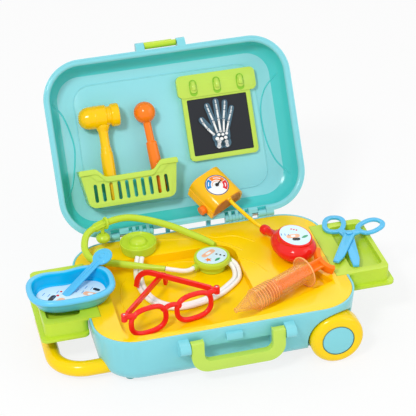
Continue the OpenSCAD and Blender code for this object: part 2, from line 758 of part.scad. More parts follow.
// Kidney outline: a full oval, drawn in on its back side
function kidney(l, w, n = 40) = [
  for (i = [0:n - 1]) let (
    t = -360 * i / n, c = cos(t), s = sin(t),
    k = pow(pow(abs(c), 2.8) + pow(abs(s), 2.8), -1 / 2.8),
    dip = s > 0 ? 4.5 * exp(-pow(k * c * 2.6, 2)) : 0)
    [l / 2 * k * c, w / 2 * k * s - dip * w / 86]
];
function kidney_ring(l, w, z) = [for (p = kidney(l, w)) [p.x, p.y, z]];
dish_pos = [-194, -1, seat];
module dish() {
  e = 2 * dish_wall;
  lean = 14;
  color(blue) on_deck() translate(dish_pos) skin([
    kidney_ring(dish_l - lean - 14, dish_w - lean - 14, 0),
    kidney_ring(dish_l - lean - 6, dish_w - lean - 6, 4),
    kidney_ring(dish_l - 5, dish_w - 5, dish_h - 5),
    kidney_ring(dish_l, dish_w, dish_h - 4),
    kidney_ring(dish_l, dish_w, dish_h - 1),
    kidney_ring(dish_l - 2, dish_w - 2, dish_h),
    kidney_ring(dish_l - 8, dish_w - 8, dish_h),
    kidney_ring(dish_l - 10, dish_w - 10, dish_h - 1.5),
    kidney_ring(dish_l - lean - 6 - e, dish_w - lean - 6 - e, dish_wall + 3),
    kidney_ring(dish_l - lean - 12 - e, dish_w - lean - 12 - e, dish_wall)]);
}
module dish_label() {
  color(paper) on_deck() translate(dish_pos + [0, 0, dish_wall]) linear_extrude(0.4)
    polygon(kidney(dish_l - 36, dish_w - 36));
}
spoon_pos = [-141.5, 39, 31.9];
spoon_rise = 21.1;
module spoon() {
  disc = 14;
  color(blue) on_deck() translate(spoon_pos) rotate([0, 0, 212]) rotate([0, spoon_rise, 0]) {
    cylinder(h = spoon_t, r = disc, $fn = 64);
    translate([0, -6, 0]) cube([spoon_l - disc - 6, 12, spoon_t]);
    translate([spoon_l - disc - 6, 0, 0]) cylinder(h = spoon_t, r = 6, $fn = 40);
  }
}

// Scissors: outlines about their pivot
pivot = [210, 36];
function oval(l, w, n = 48) = [
  for (i = [0:n - 1]) let (a = 360 * i / n, c = cos(a), s = sin(a), k = pow(pow(abs(c), 2.4) + pow(abs(s), 2.4), -1 / 2.4))
    [l / 2 * k * c, w / 2 * k * s]
];
module finger_ring(c, l, w, turn) {
  translate(c) rotate(turn) difference() {
    polygon(oval(l, w));
    polygon(oval(l - 2 * ring_bar, w - 2 * ring_bar));
  }
}
// Tapered bar along the points p, with the half widths w
module scissor_arm(p, w) {
  last = len(p) - 1;
  n = [for (i = [0:last]) let (t = unit(p[min(i + 1, last)] - p[max(i - 1, 0)])) [-t.y, t.x]];
  polygon(concat([for (i = [0:last]) p[i] + w[i] * n[i]], [for (i = [last:-1:0]) p[i] - w[i] * n[i]]));
}
module scissor_left() {
  color(blue) on_deck() translate([pivot.x, pivot.y, seat]) difference() {
    union() {
      linear_extrude(blade_t) finger_ring([-11, 36], 46, 34, 70);
      linear_extrude(blade_t) scissor_arm([[-7, 17], [-1, 2], [-11, -60], [-14.5, -76]], [5, 7.6, 6.5, 4]);
      cylinder(h = blade_t, r = 8, $fn = 48);
    }
    translate([0, 0, -1]) cylinder(h = 9, r = 2.5 + run_gap, $fn = 40);
  }
}
module scissor_right() {
  color(blue) on_deck() translate([pivot.x, pivot.y, seat + blade_t + seat]) difference() {
    union() {
      linear_extrude(blade_t) finger_ring([35, 11], 46, 34, 28);
      linear_extrude(blade_t) scissor_arm([[17, 3], [1, 0], [-30, -51], [-40, -64]], [5, 7.6, 6.5, 4]);
      cylinder(h = blade_t, r = 8, $fn = 48);
    }
    translate([0, 0, -1]) cylinder(h = 9, r = 2.5 + run_gap, $fn = 40);
  }
}
module scissor_rivet() {
  t = 2 * blade_t + 2 * seat;
  color(blue) on_deck() translate([pivot.x, pivot.y, seat]) {
    cylinder(h = t, r = 2.5, $fn = 40);
    translate([0, 0, t + 0.05]) cylinder(h = 1.4, r = 5, $fn = 48);
    translate([0, 0, t - 0.5]) cylinder(h = 1, r = 2.5, $fn = 40);
  }
}

// Middle height of the tools kept in the basket
tool_z = -21;
hammer_x = -100;
hammer_u = 170;
module hammer_head() {
  r = hammer_r;
  l = hammer_l;
  color(yellow) on_lid() translate([hammer_x - 33, hammer_u, tool_z]) rotate([0, 90, 0])
    rotate_extrude($fn = 64) polygon(concat(
      [[0, 0]], arc([r - 12, 12], 12, -90, 0, 6),
      [[r, 16], [r, l - 18], [r - 2.5, l - 16], [r - 2.5, l - 13], [r, l - 12], [r, l - 2], [r - 2, l], [0, l]]));
}
module hammer_handle() {
  neck = hammer_u - hammer_r + 1.6;
  color(yellow) on_lid() translate([hammer_x, 0, tool_z]) difference() {
    rotate([-90, 0, 0]) rotate_extrude($fn = 48) polygon([
      [0, 46], [grip_r - 2, 46], [grip_r - 1, 48], [grip_r, 118], [grip_r - 1.6, 120], [grip_r - 1.6, 126],
      [grip_r - 2.2, 127], [grip_r - 2.4, neck - 8], [grip_r + 3, neck + 3], [0, neck + 3]]);
    translate([0, hammer_u, 0]) rod_x(-60, 60, hammer_r + run_gap / 2);
  }
}
ball_lean = 4;
module ball_tool() {
  color(orange) on_lid() translate([-36.5, 167, panel_z + ball_r + seat]) rotate([0, 0, -ball_lean]) {
    sphere(ball_r, $fn = 48);
    rotate([90, 0, 0]) rotate_extrude($fn = 48) polygon([
      [0, 8], [5.5, 10], [5.8, 44], [grip_r - 1.5, 46], [grip_r - 1.5, 60], [grip_r - 0.6, 118], [grip_r - 2, 120],
      [0, 120]]);
  }
}

// Pressure cuff: a box with a round-topped tunnel, its dial on top
cuff_pos = [45.5, 149.4, 41.8];
cuff_pitch = 27;
cuff_roll = 3;
cuff_turn = 28;
module at_cuff() {
  on_deck() translate(cuff_pos) rotate([cuff_pitch, 0, 0]) rotate([0, cuff_roll, 0]) rotate([0, 0, cuff_turn])
    children();
}
// Section of the cuff across its tunnel, z up to its flat top
module cuff_outline(t) {
  r = 15 - t;
  l = cuff_l - 2 * t;
  translate([0, -cuff_h / 2 + (cuff_h - 15) / 2]) square([l, cuff_h - 15], center = true);
  translate([0, cuff_h / 2 - t - r / 2]) square([l - 2 * r, r], center = true);
  for (s = [-1, 1]) translate([s * (l / 2 - r), cuff_h / 2 - t - r]) circle(r, $fn = 48);
}
module cuff() {
  ribs = 4;
  color(yellow) at_cuff() difference() {
    union() {
      rotate([90, 0, 0]) linear_extrude(cuff_w, center = true) {
        cuff_outline(0);
        for (s = [-1, 1], i = [0:ribs - 1])
          translate([s * cuff_l / 2, -cuff_h / 2 + 2.5 + i * 3.6]) circle(1.2, $fn = 16);
      }
      // Boss for the air tube
      translate([0, -cuff_w / 2 - 3, cuff_h / 2 - 4.4]) rod_y(0, 8, 4.2);
    }
    rotate([90, 0, 0]) linear_extrude(cuff_w + 2 * cuff_wall, center = true) {
      cuff_outline(cuff_wall);
      translate([0, -cuff_h / 2]) square([cuff_l - 2 * cuff_wall, 4], center = true);
    }
    translate([0, 0, cuff_h / 2 - 1]) cylinder(h = 3, r = dial_r + 0.6, $fn = 64);
    translate([0, 0, cuff_h / 2 - 3]) cylinder(h = 6, r = 1.5 + run_gap, $fn = 32);
  }
}
module cuff_dial() {
  color([0.96, 0.97, 0.98]) at_cuff() translate([0, 0, cuff_h / 2 - 1]) difference() {
    cylinder(h = 0.9, r = dial_r + 0.4, $fn = 64);
    translate([0, 0, -1]) cylinder(h = 4, r = 1.5 + run_gap, $fn = 32);
  }
}
module dial_needle() {
  color([0.08, 0.08, 0.1]) at_cuff() translate([0, 0, cuff_h / 2]) {
    translate([0, 0, -2.8]) cylinder(h = 3.6, r = 1.5, $fn = 32);
    translate([0, 0, 0.1]) cylinder(h = 1.2, r = 2.6, $fn = 40);
    rotate([0, 0, 15]) linear_extrude(1) polygon([[0, -1.4], [11, -0.4], [11, 0.4], [0, 1.4]]);
  }
}
module cuff_knob() {
  color(orange) at_cuff() translate([-cuff_l / 2 - 1.3, -cuff_w / 2 + 16, -cuff_h / 2 + 7]) rotate([0, -90, 0])
    cylinder(h = 8, r = 6.5, $fn = 48);
}

// Route of the air tube from the cuff to the bulb's neck, heights from the rim
air_route = [[60, 121.5, 39.1], [64, 115, 35.4], [72, 107, 28], [80, 100, 20.6], [88, 94, 13.4], [93.4, 89.4, 10],
  [96.2, 82.8, 9.1]];
module air_tube() {
  color(yellow) on_deck() skin(tube_rings(air_route, air_r, 10));
}
bulb_pos = [123, 9];
bulb_turn = -70;
// Bulb along x from its neck's end to its round end: [place, half width, half height, drop]
bulb_stations = [[-78, 5.4, 5.4, 8], [-76.5, 6.6, 6.6, 8], [-72, 7.2, 7.2, 7.6], [-67, 6.6, 6.6, 7], [-60, 5.6, 5.6, 6],
  [-52, 6, 6, 4.6], [-45, 9, 8, 3], [-38, 15, 11.5, 1.4], [-30, 20.5, 14, 0.4], [-20, 25.2, 15.8, 0],
  [-8, 28, 16.8, 0], [2, 28.5, 17, 0], [12, 26.5, 16, 0], [20, 22, 13.5, 0], [26, 15.5, 9.5, 0], [29, 8, 5, 0],
  [30, 3, 2, 0]];
module bulb() {
  kw = bulb_w / 57;
  kh = bulb_h / 34;
  n = 32;
  color(red) on_deck() translate([bulb_pos.x, bulb_pos.y, bulb_h / 2 + seat]) rotate([0, 0, bulb_turn])
    skin([for (s = bulb_stations) [
      for (j = [0:n - 1]) let (a = -360 * j / n) [s[0], s[1] * kw * cos(a), s[2] * kh * sin(a) - s[3]]]]);
}
module bulb_label() {
  n = 32;
  color(paper) on_deck() translate([bulb_pos.x, bulb_pos.y, bulb_h + seat]) rotate([0, 0, bulb_turn])
    translate([-3, 0, 0.05]) linear_extrude(0.5) polygon([
      for (i = [0:n - 1]) [20 * cos(360 * i / n), 17 * sin(360 * i / n)]]);
}

// Stethoscope: routes by hand, heights from the rim
headset_route = [[22, 66, 4.9], [12, 79, 7], [-5, 88, 14], [-28, 101, 23], [-48, 110, 29], [-68, 117, 34], [-88, 121, 38],
  [-106, 120, 39], [-122, 117, 37.5], [-134, 115, 35], [-146, 111, 32], [-154, 104, 27], [-158, 93, 17],
  [-155, 81, 10], [-147, 73, 7], [-136, 67.5, 5.8], [-123, 61, 5], [-108, 53, 4.9], [-92, 44.5, 4.9], [-76, 36, 4.9],
  [-58, 27, 4.9]];
module headset() {
  color(lime) on_deck() {
    skin(tube_rings(headset_route, headset_r, 12));
    // Collar that carries the first ear tip
    translate([-122, 117, 37.5]) rotate([0, 0, 15]) rotate([0, 90, 0]) cylinder(h = 5, r = 7.6, center = true, $fn = 48);
    translate([-128, 113, tip_top]) cylinder(h = 36 - tip_top, r = 3, $fn = 32);
    translate([-137, 0, 8.4]) rod_y(67.5, 75.6, 2.4);
  }
}
module ear_tips() {
  color(lime) on_deck() {
    translate([-128, 113, tip_top]) mirror([0, 0, 1]) tip_shape();
    translate([-137, 75.6, 10 + seat]) rotate([-90, 0, 0]) tip_shape();
  }
}
// Rounded ear tip from its flat seat at the stem
tip_top = 23;
module tip_shape() {
  rotate_extrude($fn = 40) polygon(concat([[0, 0], [6, 0], [8, 2]], arc([3, 6], 7, -12, 90, 8)));
}
cup_pos = [-82, 93];
module chest_cup() {
  r = cup_r;
  color(lime) on_deck() translate([cup_pos.x, cup_pos.y, seat]) rotate_extrude($fn = 72) polygon(concat(
    [[0, 0], [r - 7, 0]], arc([r - 4, 4], 4, -70, 0, 4), [[r, cup_h - 1.2], [r - 1.2, cup_h], [r - 3, cup_h],
    [r - 4, cup_h - 1.2], [r - 5, 6], [r - 8, 4], [9, 4]], arc([0, 4], 9, 0, 90, 6)));
}
disc_pos = [11, 39];
well_floor = -well_depth;
module chest_disc() {
  boss = 17;
  z0 = well_floor + seat;
  color(lime) on_deck() translate([disc_pos.x, disc_pos.y, z0]) rotate_extrude($fn = 72) polygon([
    [0, 0], [boss - 2, 0], [boss, 2], [boss, 11], [disc_r - 2, 13], [disc_r, 15], [disc_r, 15 + disc_t - 5],
    [disc_r - 2, 15 + disc_t - 3], [disc_r - 3.5, 15 + disc_t - 3], [disc_r - 3.5, 15 + disc_t - 3.6],
    [0, 15 + disc_t - 3.6]]);
}
module disc_label() {
  color(paper) on_deck() translate([disc_pos.x, disc_pos.y, well_floor + seat + 15 + disc_t - 3.6])
    cylinder(h = 0.5, r = disc_r - 3.7, $fn = 64);
}
hose_route = [[-86, 65.2, 6], [-89, 59, 0.5], [-92, 51, -7], [-94, 38, -10.4], [-95, 14, -10.4], [-90, -14, -10.4],
  [-79, -33, -10.4], [-62, -45, -10.4], [-42, -47, -10.4], [-16, -41, -10.4], [6, -30, -10.4], [26, -12, -10.4],
  [37, -1, -10.4], [36, 12, -10.4], [28.6, 25, -10.4]];
// The pair of hoses lies side by side along one route
function beside(route, w) = [
  for (i = [0:len(route) - 1]) let (
    a = route[max(i - 1, 0)], b = route[min(i + 1, len(route) - 1)], t = unit([b.x - a.x, b.y - a.y]))
    route[i] + w * [-t.y, t.x, 0]
];
module hoses() {
  color([0.97, 0.96, 0.95]) on_deck() for (s = [-1, 1])
    skin(tube_rings(beside(hose_route, s * (hose_r + 0.15)), hose_r, 8));
}
short_route = [[-57.6, 26.8, 4.8], [-46, 22.8, 3], [-34, 23, -1], [-24, 27, -4], [-15.6, 31.6, -4]];
module short_hose() {
  color([0.97, 0.96, 0.95]) on_deck() skin(tube_rings(short_route, hose_r, 8));
}

syr_rise = 3.9;
syr_z = 4.85;
module on_syringe() {
  on_deck() translate([syr_tip.x, syr_tip.y, syr_z]) rotate([0, 0, syr_turn]) rotate([0, 90 - syr_rise, 0]) children();
}
module syringe_barrel() {
  r = barrel_r;
  w = barrel_wall;
  ring = 4.4;
  color([1, 0.55, 0.14, 0.6]) on_syringe() rotate_extrude($fn = 72) polygon(concat(
    [[1.2, 0], [3, 0], [3.6, 4], [r - 1, cone_l]],
    [for (i = [0:3]) each [
      [r, cone_l + 1 + i * 2 * ring], [r, cone_l + ring + i * 2 * ring],
      [r - 1, cone_l + 1 + ring + i * 2 * ring], [r - 1, cone_l + 2 * ring + i * 2 * ring]]],
    [[r - 0.6, barrel_l - 3], [flange_r, barrel_l - 3], [flange_r, barrel_l], [r - w - 0.8, barrel_l],
      [r - w - 0.8, cone_l], [1.2, 8]]));
}
bore_r = barrel_r - barrel_wall - 0.8;
plunger_in = 64;
plunger_end = 157;
module plunger() {
  color(orange) on_syringe() {
    translate([0, 0, plunger_in + 6]) {
      translate([-bore_r + 3, -1.2, 0]) cube([2 * bore_r - 6, 2.4, plunger_end - plunger_in - 10]);
      translate([-1.2, -bore_r + 3, 0]) cube([2.4, 2 * bore_r - 6, plunger_end - plunger_in - 10]);
      cylinder(h = 2, r = bore_r - piston_gap, $fn = 64);
      translate([0, 0, -5]) cylinder(h = 6, r = 4, $fn = 32);
    }
    // Curved thumb rest, along the plunger's own cross direction
    translate([0, 0, plunger_end - 6]) rotate([0, 0, -62]) rotate([90, 0, 0])
      linear_extrude(13, center = true) ribbon(arc([0, 22], 22, -145, -35, 10), 3);
  }
}
module plunger_seal() {
  r = bore_r - piston_gap;
  color([0.95, 0.45, 0.1]) on_syringe() difference() {
    translate([0, 0, plunger_in]) rotate_extrude($fn = 64)
      polygon([[0, -3], [r, 0], [r, 2], [r - 1.5, 2.6], [r - 1.5, 3.4], [r, 4], [r, 6], [0, 6]]);
    translate([0, 0, plunger_in + 1]) cylinder(h = 6, r = 4 + run_gap / 2, $fn = 32);
  }
}

// Glasses: the front stands in the well, its middle between the hinges
front_turn = 12;
front_pos = [-74.6, -85, well_floor + seat];
hinge_h = 37;
module at_glasses() {
  on_deck() translate(front_pos) rotate([0, 0, front_turn]) children();
}
module glasses_front() {
  rim_l = 56;
  lug = glasses_w / 2;
  color(red) at_glasses() difference() {
    union() {
      rotate([90, 0, 0]) linear_extrude(front_t, center = true) {
        for (s = [-1, 1]) translate([s * 33, rim_h / 2]) difference() {
          rrect(rim_l, rim_h, 17);
          rrect(rim_l - 2 * rim_bar, rim_h - 2 * rim_bar, 12);
        }
        translate([0, rim_h - 12]) square([12, 8], center = true);
        for (s = [-1, 1]) translate([s * (lug - 4), hinge_h]) square([12, 11], center = true);
      }
      for (s = [-1, 1]) translate([s * lug, 0, hinge_h - 5.5]) cylinder(h = 11, r = 4.2, $fn = 40);
    }
    for (s = [-1, 1]) translate([s * lug, 0, hinge_h]) {
      cylinder(h = 5 + gap, r = 5, center = true, $fn = 40);
      cylinder(h = 30, r = 1.5 + run_gap, center = true, $fn = 32);
      translate([s > 0 ? -8 : -2, 1, -2.5 - gap / 2]) cube([10, 8, 5 + gap]);
    }
  }
}
module temple_pins() {
  color(steel) at_glasses() for (s = [-1, 1]) translate([s * glasses_w / 2, 0, hinge_h - 5.5])
    cylinder(h = 11, r = 1.5, $fn = 32);
}
// A temple runs from its hinge along x, its height along y in this section
module temple(s, turn, pitch, straight, bend, tip) {
  half = temple_h / 2;
  color(red) at_glasses() translate([s * glasses_w / 2, 0, hinge_h]) rotate([0, 0, turn]) difference() {
    union() {
      cylinder(h = 5, r = 4.2, center = true, $fn = 40);
      translate([2, -2.2, -2.5]) cube([9, 4.4, 5]);
      translate([9, 2.2, 0]) rotate([90, 0, 0]) linear_extrude(4.4) rotate(pitch) ribbon(concat(
        [[0, 0]], arc([straight, -bend], bend, 90, 12, 8), [tip]), half);
    }
    cylinder(h = 30, r = 1.5 + run_gap, center = true, $fn = 32);
  }
}
module temple_left() { temple(-1, 90 - 35.8 - front_turn, -5, 110, 16, [127.5, -20.5]); }
module temple_right() { temple(1, 90 + 48.6 - front_turn, 0, 90, 24, [115.5, -29]); }

base_shell();
deck();
deck_screws();
handle_guides();
axle();
axle_nuts();
feet();
lid_pins();
lid_shell();
basket();
picture_frame();
picture_film();
latch_flap();
latch_pin();
carry_handle();
trolley_handle();
leg_collars();
wheel_front();
wheel_back();
hubcap_front();
hubcap_back();
tray_left();
tray_right();
dish();
dish_label();
spoon();
scissor_left();
scissor_right();
scissor_rivet();
hammer_head();
hammer_handle();
ball_tool();
cuff();
cuff_dial();
dial_needle();
cuff_knob();
air_tube();
bulb();
bulb_label();
headset();
ear_tips();
chest_cup();
chest_disc();
disc_label();
hoses();
short_hose();
syringe_barrel();
plunger();
plunger_seal();
glasses_front();
temple_left();
temple_right();
temple_pins();
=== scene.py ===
# Toy doctor case: a wheeled plastic case standing open, with its instruments in the lid, the well and the trays.
import bpy
import bmesh
import json
import math
from mathutils import Matrix, Vector
from mathutils.bvhtree import BVHTree


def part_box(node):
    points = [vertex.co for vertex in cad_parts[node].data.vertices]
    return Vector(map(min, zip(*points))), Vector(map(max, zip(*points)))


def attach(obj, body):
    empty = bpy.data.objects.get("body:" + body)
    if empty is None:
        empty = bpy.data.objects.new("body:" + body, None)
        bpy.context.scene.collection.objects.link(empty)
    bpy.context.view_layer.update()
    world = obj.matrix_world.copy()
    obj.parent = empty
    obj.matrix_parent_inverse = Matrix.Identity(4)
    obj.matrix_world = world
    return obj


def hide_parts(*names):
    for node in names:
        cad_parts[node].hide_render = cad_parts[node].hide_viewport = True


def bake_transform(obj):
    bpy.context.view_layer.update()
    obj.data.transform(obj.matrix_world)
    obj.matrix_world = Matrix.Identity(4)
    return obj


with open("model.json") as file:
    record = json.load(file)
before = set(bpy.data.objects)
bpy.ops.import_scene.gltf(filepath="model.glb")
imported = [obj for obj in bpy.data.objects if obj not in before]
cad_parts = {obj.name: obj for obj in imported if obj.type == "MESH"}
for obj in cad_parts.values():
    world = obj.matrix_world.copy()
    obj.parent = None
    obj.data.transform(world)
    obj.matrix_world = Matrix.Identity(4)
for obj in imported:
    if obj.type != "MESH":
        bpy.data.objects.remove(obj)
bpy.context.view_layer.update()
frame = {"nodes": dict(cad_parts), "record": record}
nodes = frame["nodes"]
print("frame loaded:", len(nodes), "nodes")

mm = 0.001


def turn(degrees, axis):
    return Matrix.Rotation(math.radians(degrees), 4, axis)


def move(x, y, z):
    return Matrix.Translation((x, y, z))


# ---- places, in millimetres, as the model has them
stand = {"tilt": 2.660192, "lift": 9.355271, "middle": (3.2, 76.3), "rim": 72.0}
caseAt = move(-stand["middle"][0], -stand["middle"][1], stand["lift"]) @ turn(-stand["tilt"], "Y")
deckAt = caseAt @ move(0, 0, stand["rim"])
lidAt = caseAt @ move(0, 129, 77) @ turn(-119.25, "X") @ move(0, -2, -4.7) @ turn(180, "X")
cuffAt = deckAt @ move(45.5, 149.4, 41.8) @ turn(27, "X") @ turn(3, "Y") @ turn(28, "Z")
syringeAt = deckAt @ move(8, -100, 4.85) @ turn(24.5, "Z") @ turn(86.1, "Y")
glassesAt = deckAt @ move(-74.6, -85, -13.8) @ turn(12, "Z")
dishAt = deckAt @ move(-194, -1, 0.2)
spoonAt = deckAt @ move(-141.5, 39, 31.9) @ turn(212, "Z") @ turn(21.1, "Y")
bulbAt = deckAt @ move(123, 9, 17.2) @ turn(-70, "Z")
toMetres = Matrix.Scale(mm, 4)

# ---- camera
view = {"place": (-0.483, -1.94823, 1.3205), "target": (-0.0028, -0.04096, 0.16718), "roll": 0.4636, "lens": 144.754}


def makeCamera():
    data = bpy.data.cameras.new("camera")
    data.lens = view["lens"]
    data.sensor_width = 36
    camera = bpy.data.objects.new("camera", data)
    bpy.context.scene.collection.objects.link(camera)
    place, target = Vector(view["place"]), Vector(view["target"])
    look = (target - place).to_track_quat("-Z", "Y").to_matrix().to_4x4()
    camera.matrix_world = Matrix.Translation(place) @ look @ turn(view["roll"], "Z")
    data.clip_end = 20
    bpy.context.scene.camera = camera


makeCamera()


# ---- materials
def newGroup(name, inputs, outputs):
    group = bpy.data.node_groups.new(name, "ShaderNodeTree")
    for label, kind, value in inputs:
        socket = group.interface.new_socket(label, in_out="INPUT", socket_type=kind)
        socket.default_value = value
    for label, kind in outputs:
        group.interface.new_socket(label, in_out="OUTPUT", socket_type=kind)
    return group, group.nodes.new("NodeGroupInput"), group.nodes.new("NodeGroupOutput")


# Scales of the three noises, where the clouding starts and ends, its tint, the spread of the gloss, the height of the
# orange peel and the shine
surface = {"cloud": 22, "mottle": 90, "peel": 300, "cloudy": (0.35, 0.65), "tint": (0.62, 0.66, 0.7, 1),
           "spread": 0.10, "height": 0.0001, "shine": 0.32}


def mouldedGroup():
    # Faint clouding of the colour, mottled gloss and orange peel of moulded plastic
    group, entry, result = newGroup("mouldedPlastic", [
        ("Colour", "NodeSocketColor", (0.8, 0.8, 0.8, 1)), ("Clouding", "NodeSocketFloat", 0.05),
        ("Gloss", "NodeSocketFloat", 0.25), ("Peel", "NodeSocketFloat", 0.02)], [
        ("Colour", "NodeSocketColor"), ("Roughness", "NodeSocketFloat"), ("Normal", "NodeSocketVector")])
    link = group.links.new
    place = group.nodes.new("ShaderNodeTexCoord")

    def noise(scale, detail):
        texture = group.nodes.new("ShaderNodeTexNoise")
        texture.inputs["Scale"].default_value = scale
        texture.inputs["Detail"].default_value = detail
        link(place.outputs["Object"], texture.inputs["Vector"])
        return texture.outputs["Fac"]

    shade = group.nodes.new("ShaderNodeMapRange")
    shade.inputs["From Min"].default_value, shade.inputs["From Max"].default_value = surface["cloudy"]
    link(noise(surface["cloud"], 2), shade.inputs["Value"])
    amount = group.nodes.new("ShaderNodeMath")
    amount.operation = "MULTIPLY"
    link(shade.outputs["Result"], amount.inputs[0])
    link(entry.outputs["Clouding"], amount.inputs[1])
    dark = group.nodes.new("ShaderNodeMix")
    dark.data_type = "RGBA"
    dark.blend_type = "MULTIPLY"
    link(amount.outputs[0], dark.inputs[0])
    link(entry.outputs["Colour"], dark.inputs[6])
    dark.inputs[7].default_value = surface["tint"]
    link(dark.outputs[2], result.inputs["Colour"])
    rough = group.nodes.new("ShaderNodeMath")
    rough.operation = "MULTIPLY_ADD"
    link(noise(surface["mottle"], 3), rough.inputs[0])
    rough.inputs[1].default_value = surface["spread"]
    link(entry.outputs["Gloss"], rough.inputs[2])
    link(rough.outputs[0], result.inputs["Roughness"])
    bump = group.nodes.new("ShaderNodeBump")
    bump.inputs["Distance"].default_value = surface["height"]
    link(entry.outputs["Peel"], bump.inputs["Strength"])
    link(noise(surface["peel"], 2), bump.inputs["Height"])
    link(bump.outputs["Normal"], result.inputs["Normal"])
    return group


moulded = mouldedGroup()
# Colour, gloss, clouding and orange peel of each finish
plastics = {
    "aqua_plastic": {"colour": (0.235, 0.66, 0.735), "gloss": 0.16, "clouding": 0.05, "peel": 0.25},
    "teal_plastic": {"colour": (0.03, 0.46, 0.46), "gloss": 0.20, "clouding": 0.06, "peel": 0.25},
    "yellow_plastic": {"colour": (1.0, 0.665, 0.0), "gloss": 0.14, "clouding": 0.04, "peel": 0.25},
    "lime_plastic": {"colour": (0.54, 0.73, 0.04), "gloss": 0.15, "clouding": 0.05, "peel": 0.25},
    "blue_plastic": {"colour": (0.095, 0.53, 0.86), "gloss": 0.12, "clouding": 0.04, "peel": 0.25},
    "red_plastic": {"colour": (0.86, 0.016, 0.012), "gloss": 0.10, "clouding": 0.04, "peel": 0.2},
    "orange_plastic": {"colour": (1.0, 0.22, 0.01), "gloss": 0.14, "clouding": 0.04, "peel": 0.25},
    "orange_rubber": {"colour": (0.9, 0.2, 0.012), "gloss": 0.30, "clouding": 0.06, "peel": 0.4},
    "white_rubber": {"colour": (0.92, 0.91, 0.89), "gloss": 0.26, "clouding": 0.03, "peel": 0.3},
    "steel": {"colour": (0.55, 0.56, 0.58), "gloss": 0.18, "clouding": 0.10, "peel": 0.15},
    "label": {"colour": (0.66, 0.85, 0.94), "gloss": 0.16, "clouding": 0.02, "peel": 0.1},
    "dark_film": {"colour": (0.012, 0.014, 0.02), "gloss": 0.34, "clouding": 0.02, "peel": 0.05},
    "black_plastic": {"colour": (0.008, 0.008, 0.01), "gloss": 0.3, "clouding": 0.04, "peel": 0.1},
}
# Other shades of the same plastics, and the inks of the printed labels. Some are darker or paler copies that paint in
# shade and light: the lid's darker walls and paler panel, the deck's darker walls, the dish's paler rim and deeper
# inside, the picture frame's dark recesses, the cuff's darker tunnel and the dark ring round each hubcap
shades = {
    "lidWallShade": {"colour": (0.075, 0.62, 0.63), "gloss": 0.16, "clouding": 0.06, "peel": 0.25},
    "lidPanelLit": {"colour": (0.30, 0.72, 0.785), "gloss": 0.16, "clouding": 0.05, "peel": 0.25},
    "deckWallShade": {"colour": (1.0, 0.585, 0.0), "gloss": 0.16, "clouding": 0.05, "peel": 0.25},
    "dishInsideShade": {"colour": (0.0, 0.47, 0.83), "gloss": 0.12, "clouding": 0.04, "peel": 0.25},
    "dishRimLit": {"colour": (0.13, 0.58, 0.90), "gloss": 0.12, "clouding": 0.04, "peel": 0.25},
    "recessShade": {"colour": (0.26, 0.58, 0.03), "gloss": 0.18, "clouding": 0.05, "peel": 0.25},
    "cuffTunnelShade": {"colour": (0.98, 0.40, 0.01), "gloss": 0.2, "clouding": 0.05, "peel": 0.25},
    "cuffOutside": {"colour": (0.98, 0.52, 0.004), "gloss": 0.14, "clouding": 0.04, "peel": 0.25},
    "toolYellow": {"colour": (1.0, 0.58, 0.0), "gloss": 0.12, "clouding": 0.04, "peel": 0.25},
    "paleLime": {"colour": (0.54, 0.75, 0.10), "gloss": 0.14, "clouding": 0.05, "peel": 0.25},
    "paleOrange": {"colour": (1.0, 0.50, 0.17), "gloss": 0.06, "clouding": 0.03, "peel": 0.1},
    "paintedShadowRing": {"colour": (0.05, 0.12, 0.10), "gloss": 0.4, "clouding": 0.05, "peel": 0.1},
    "inkWhite": {"colour": (0.90, 0.92, 0.93), "gloss": 0.16, "clouding": 0.02, "peel": 0.1},
    "inkBlack": {"colour": (0.012, 0.012, 0.016), "gloss": 0.18, "clouding": 0.02, "peel": 0.1},
    "inkPeach": {"colour": (0.90, 0.48, 0.30), "gloss": 0.18, "clouding": 0.02, "peel": 0.1},
    "inkRed": {"colour": (0.75, 0.02, 0.03), "gloss": 0.18, "clouding": 0.02, "peel": 0.1},
    "inkOrange": {"colour": (0.92, 0.24, 0.02), "gloss": 0.18, "clouding": 0.02, "peel": 0.1},
    "inkBlue": {"colour": (0.01, 0.24, 0.62), "gloss": 0.18, "clouding": 0.02, "peel": 0.1},
    "inkNavy": {"colour": (0.03, 0.06, 0.20), "gloss": 0.18, "clouding": 0.02, "peel": 0.1},
    "inkGreen": {"colour": (0.04, 0.36, 0.16), "gloss": 0.18, "clouding": 0.02, "peel": 0.1},
    "inkSlate": {"colour": (0.065, 0.14, 0.20), "gloss": 0.34, "clouding": 0.05, "peel": 0.05},
}


def newMaterial(name):
    material = bpy.data.materials.new(name)
    material.use_nodes = True
    return material, material.node_tree, material.node_tree.nodes["Principled BSDF"]


def plastic(name, values):
    material, tree, shader = newMaterial(name)
    grain = tree.nodes.new("ShaderNodeGroup")
    grain.node_tree = moulded
    grain.inputs["Colour"].default_value = (*values["colour"], 1)
    for label in ("Clouding", "Gloss", "Peel"):
        grain.inputs[label].default_value = values[label.lower()]
    for label, socket in (("Colour", "Base Color"), ("Roughness", "Roughness"), ("Normal", "Normal")):
        tree.links.new(grain.outputs[label], shader.inputs[socket])
    shader.inputs["Specular IOR Level"].default_value = surface["shine"]
    if name == "steel":
        shader.inputs["Metallic"].default_value = 1
    return material


looks = {name: plastic(name, values) for name, values in (plastics | shades).items()}


# The syringe's barrel, and how dense it looks face on and edge on
clear = {"colour": (1.0, 0.48, 0.15), "gloss": 0.02, "clouding": 0.02, "peel": 0.1, "blend": 0.4,
         "dense": (0.12, 0.55)}


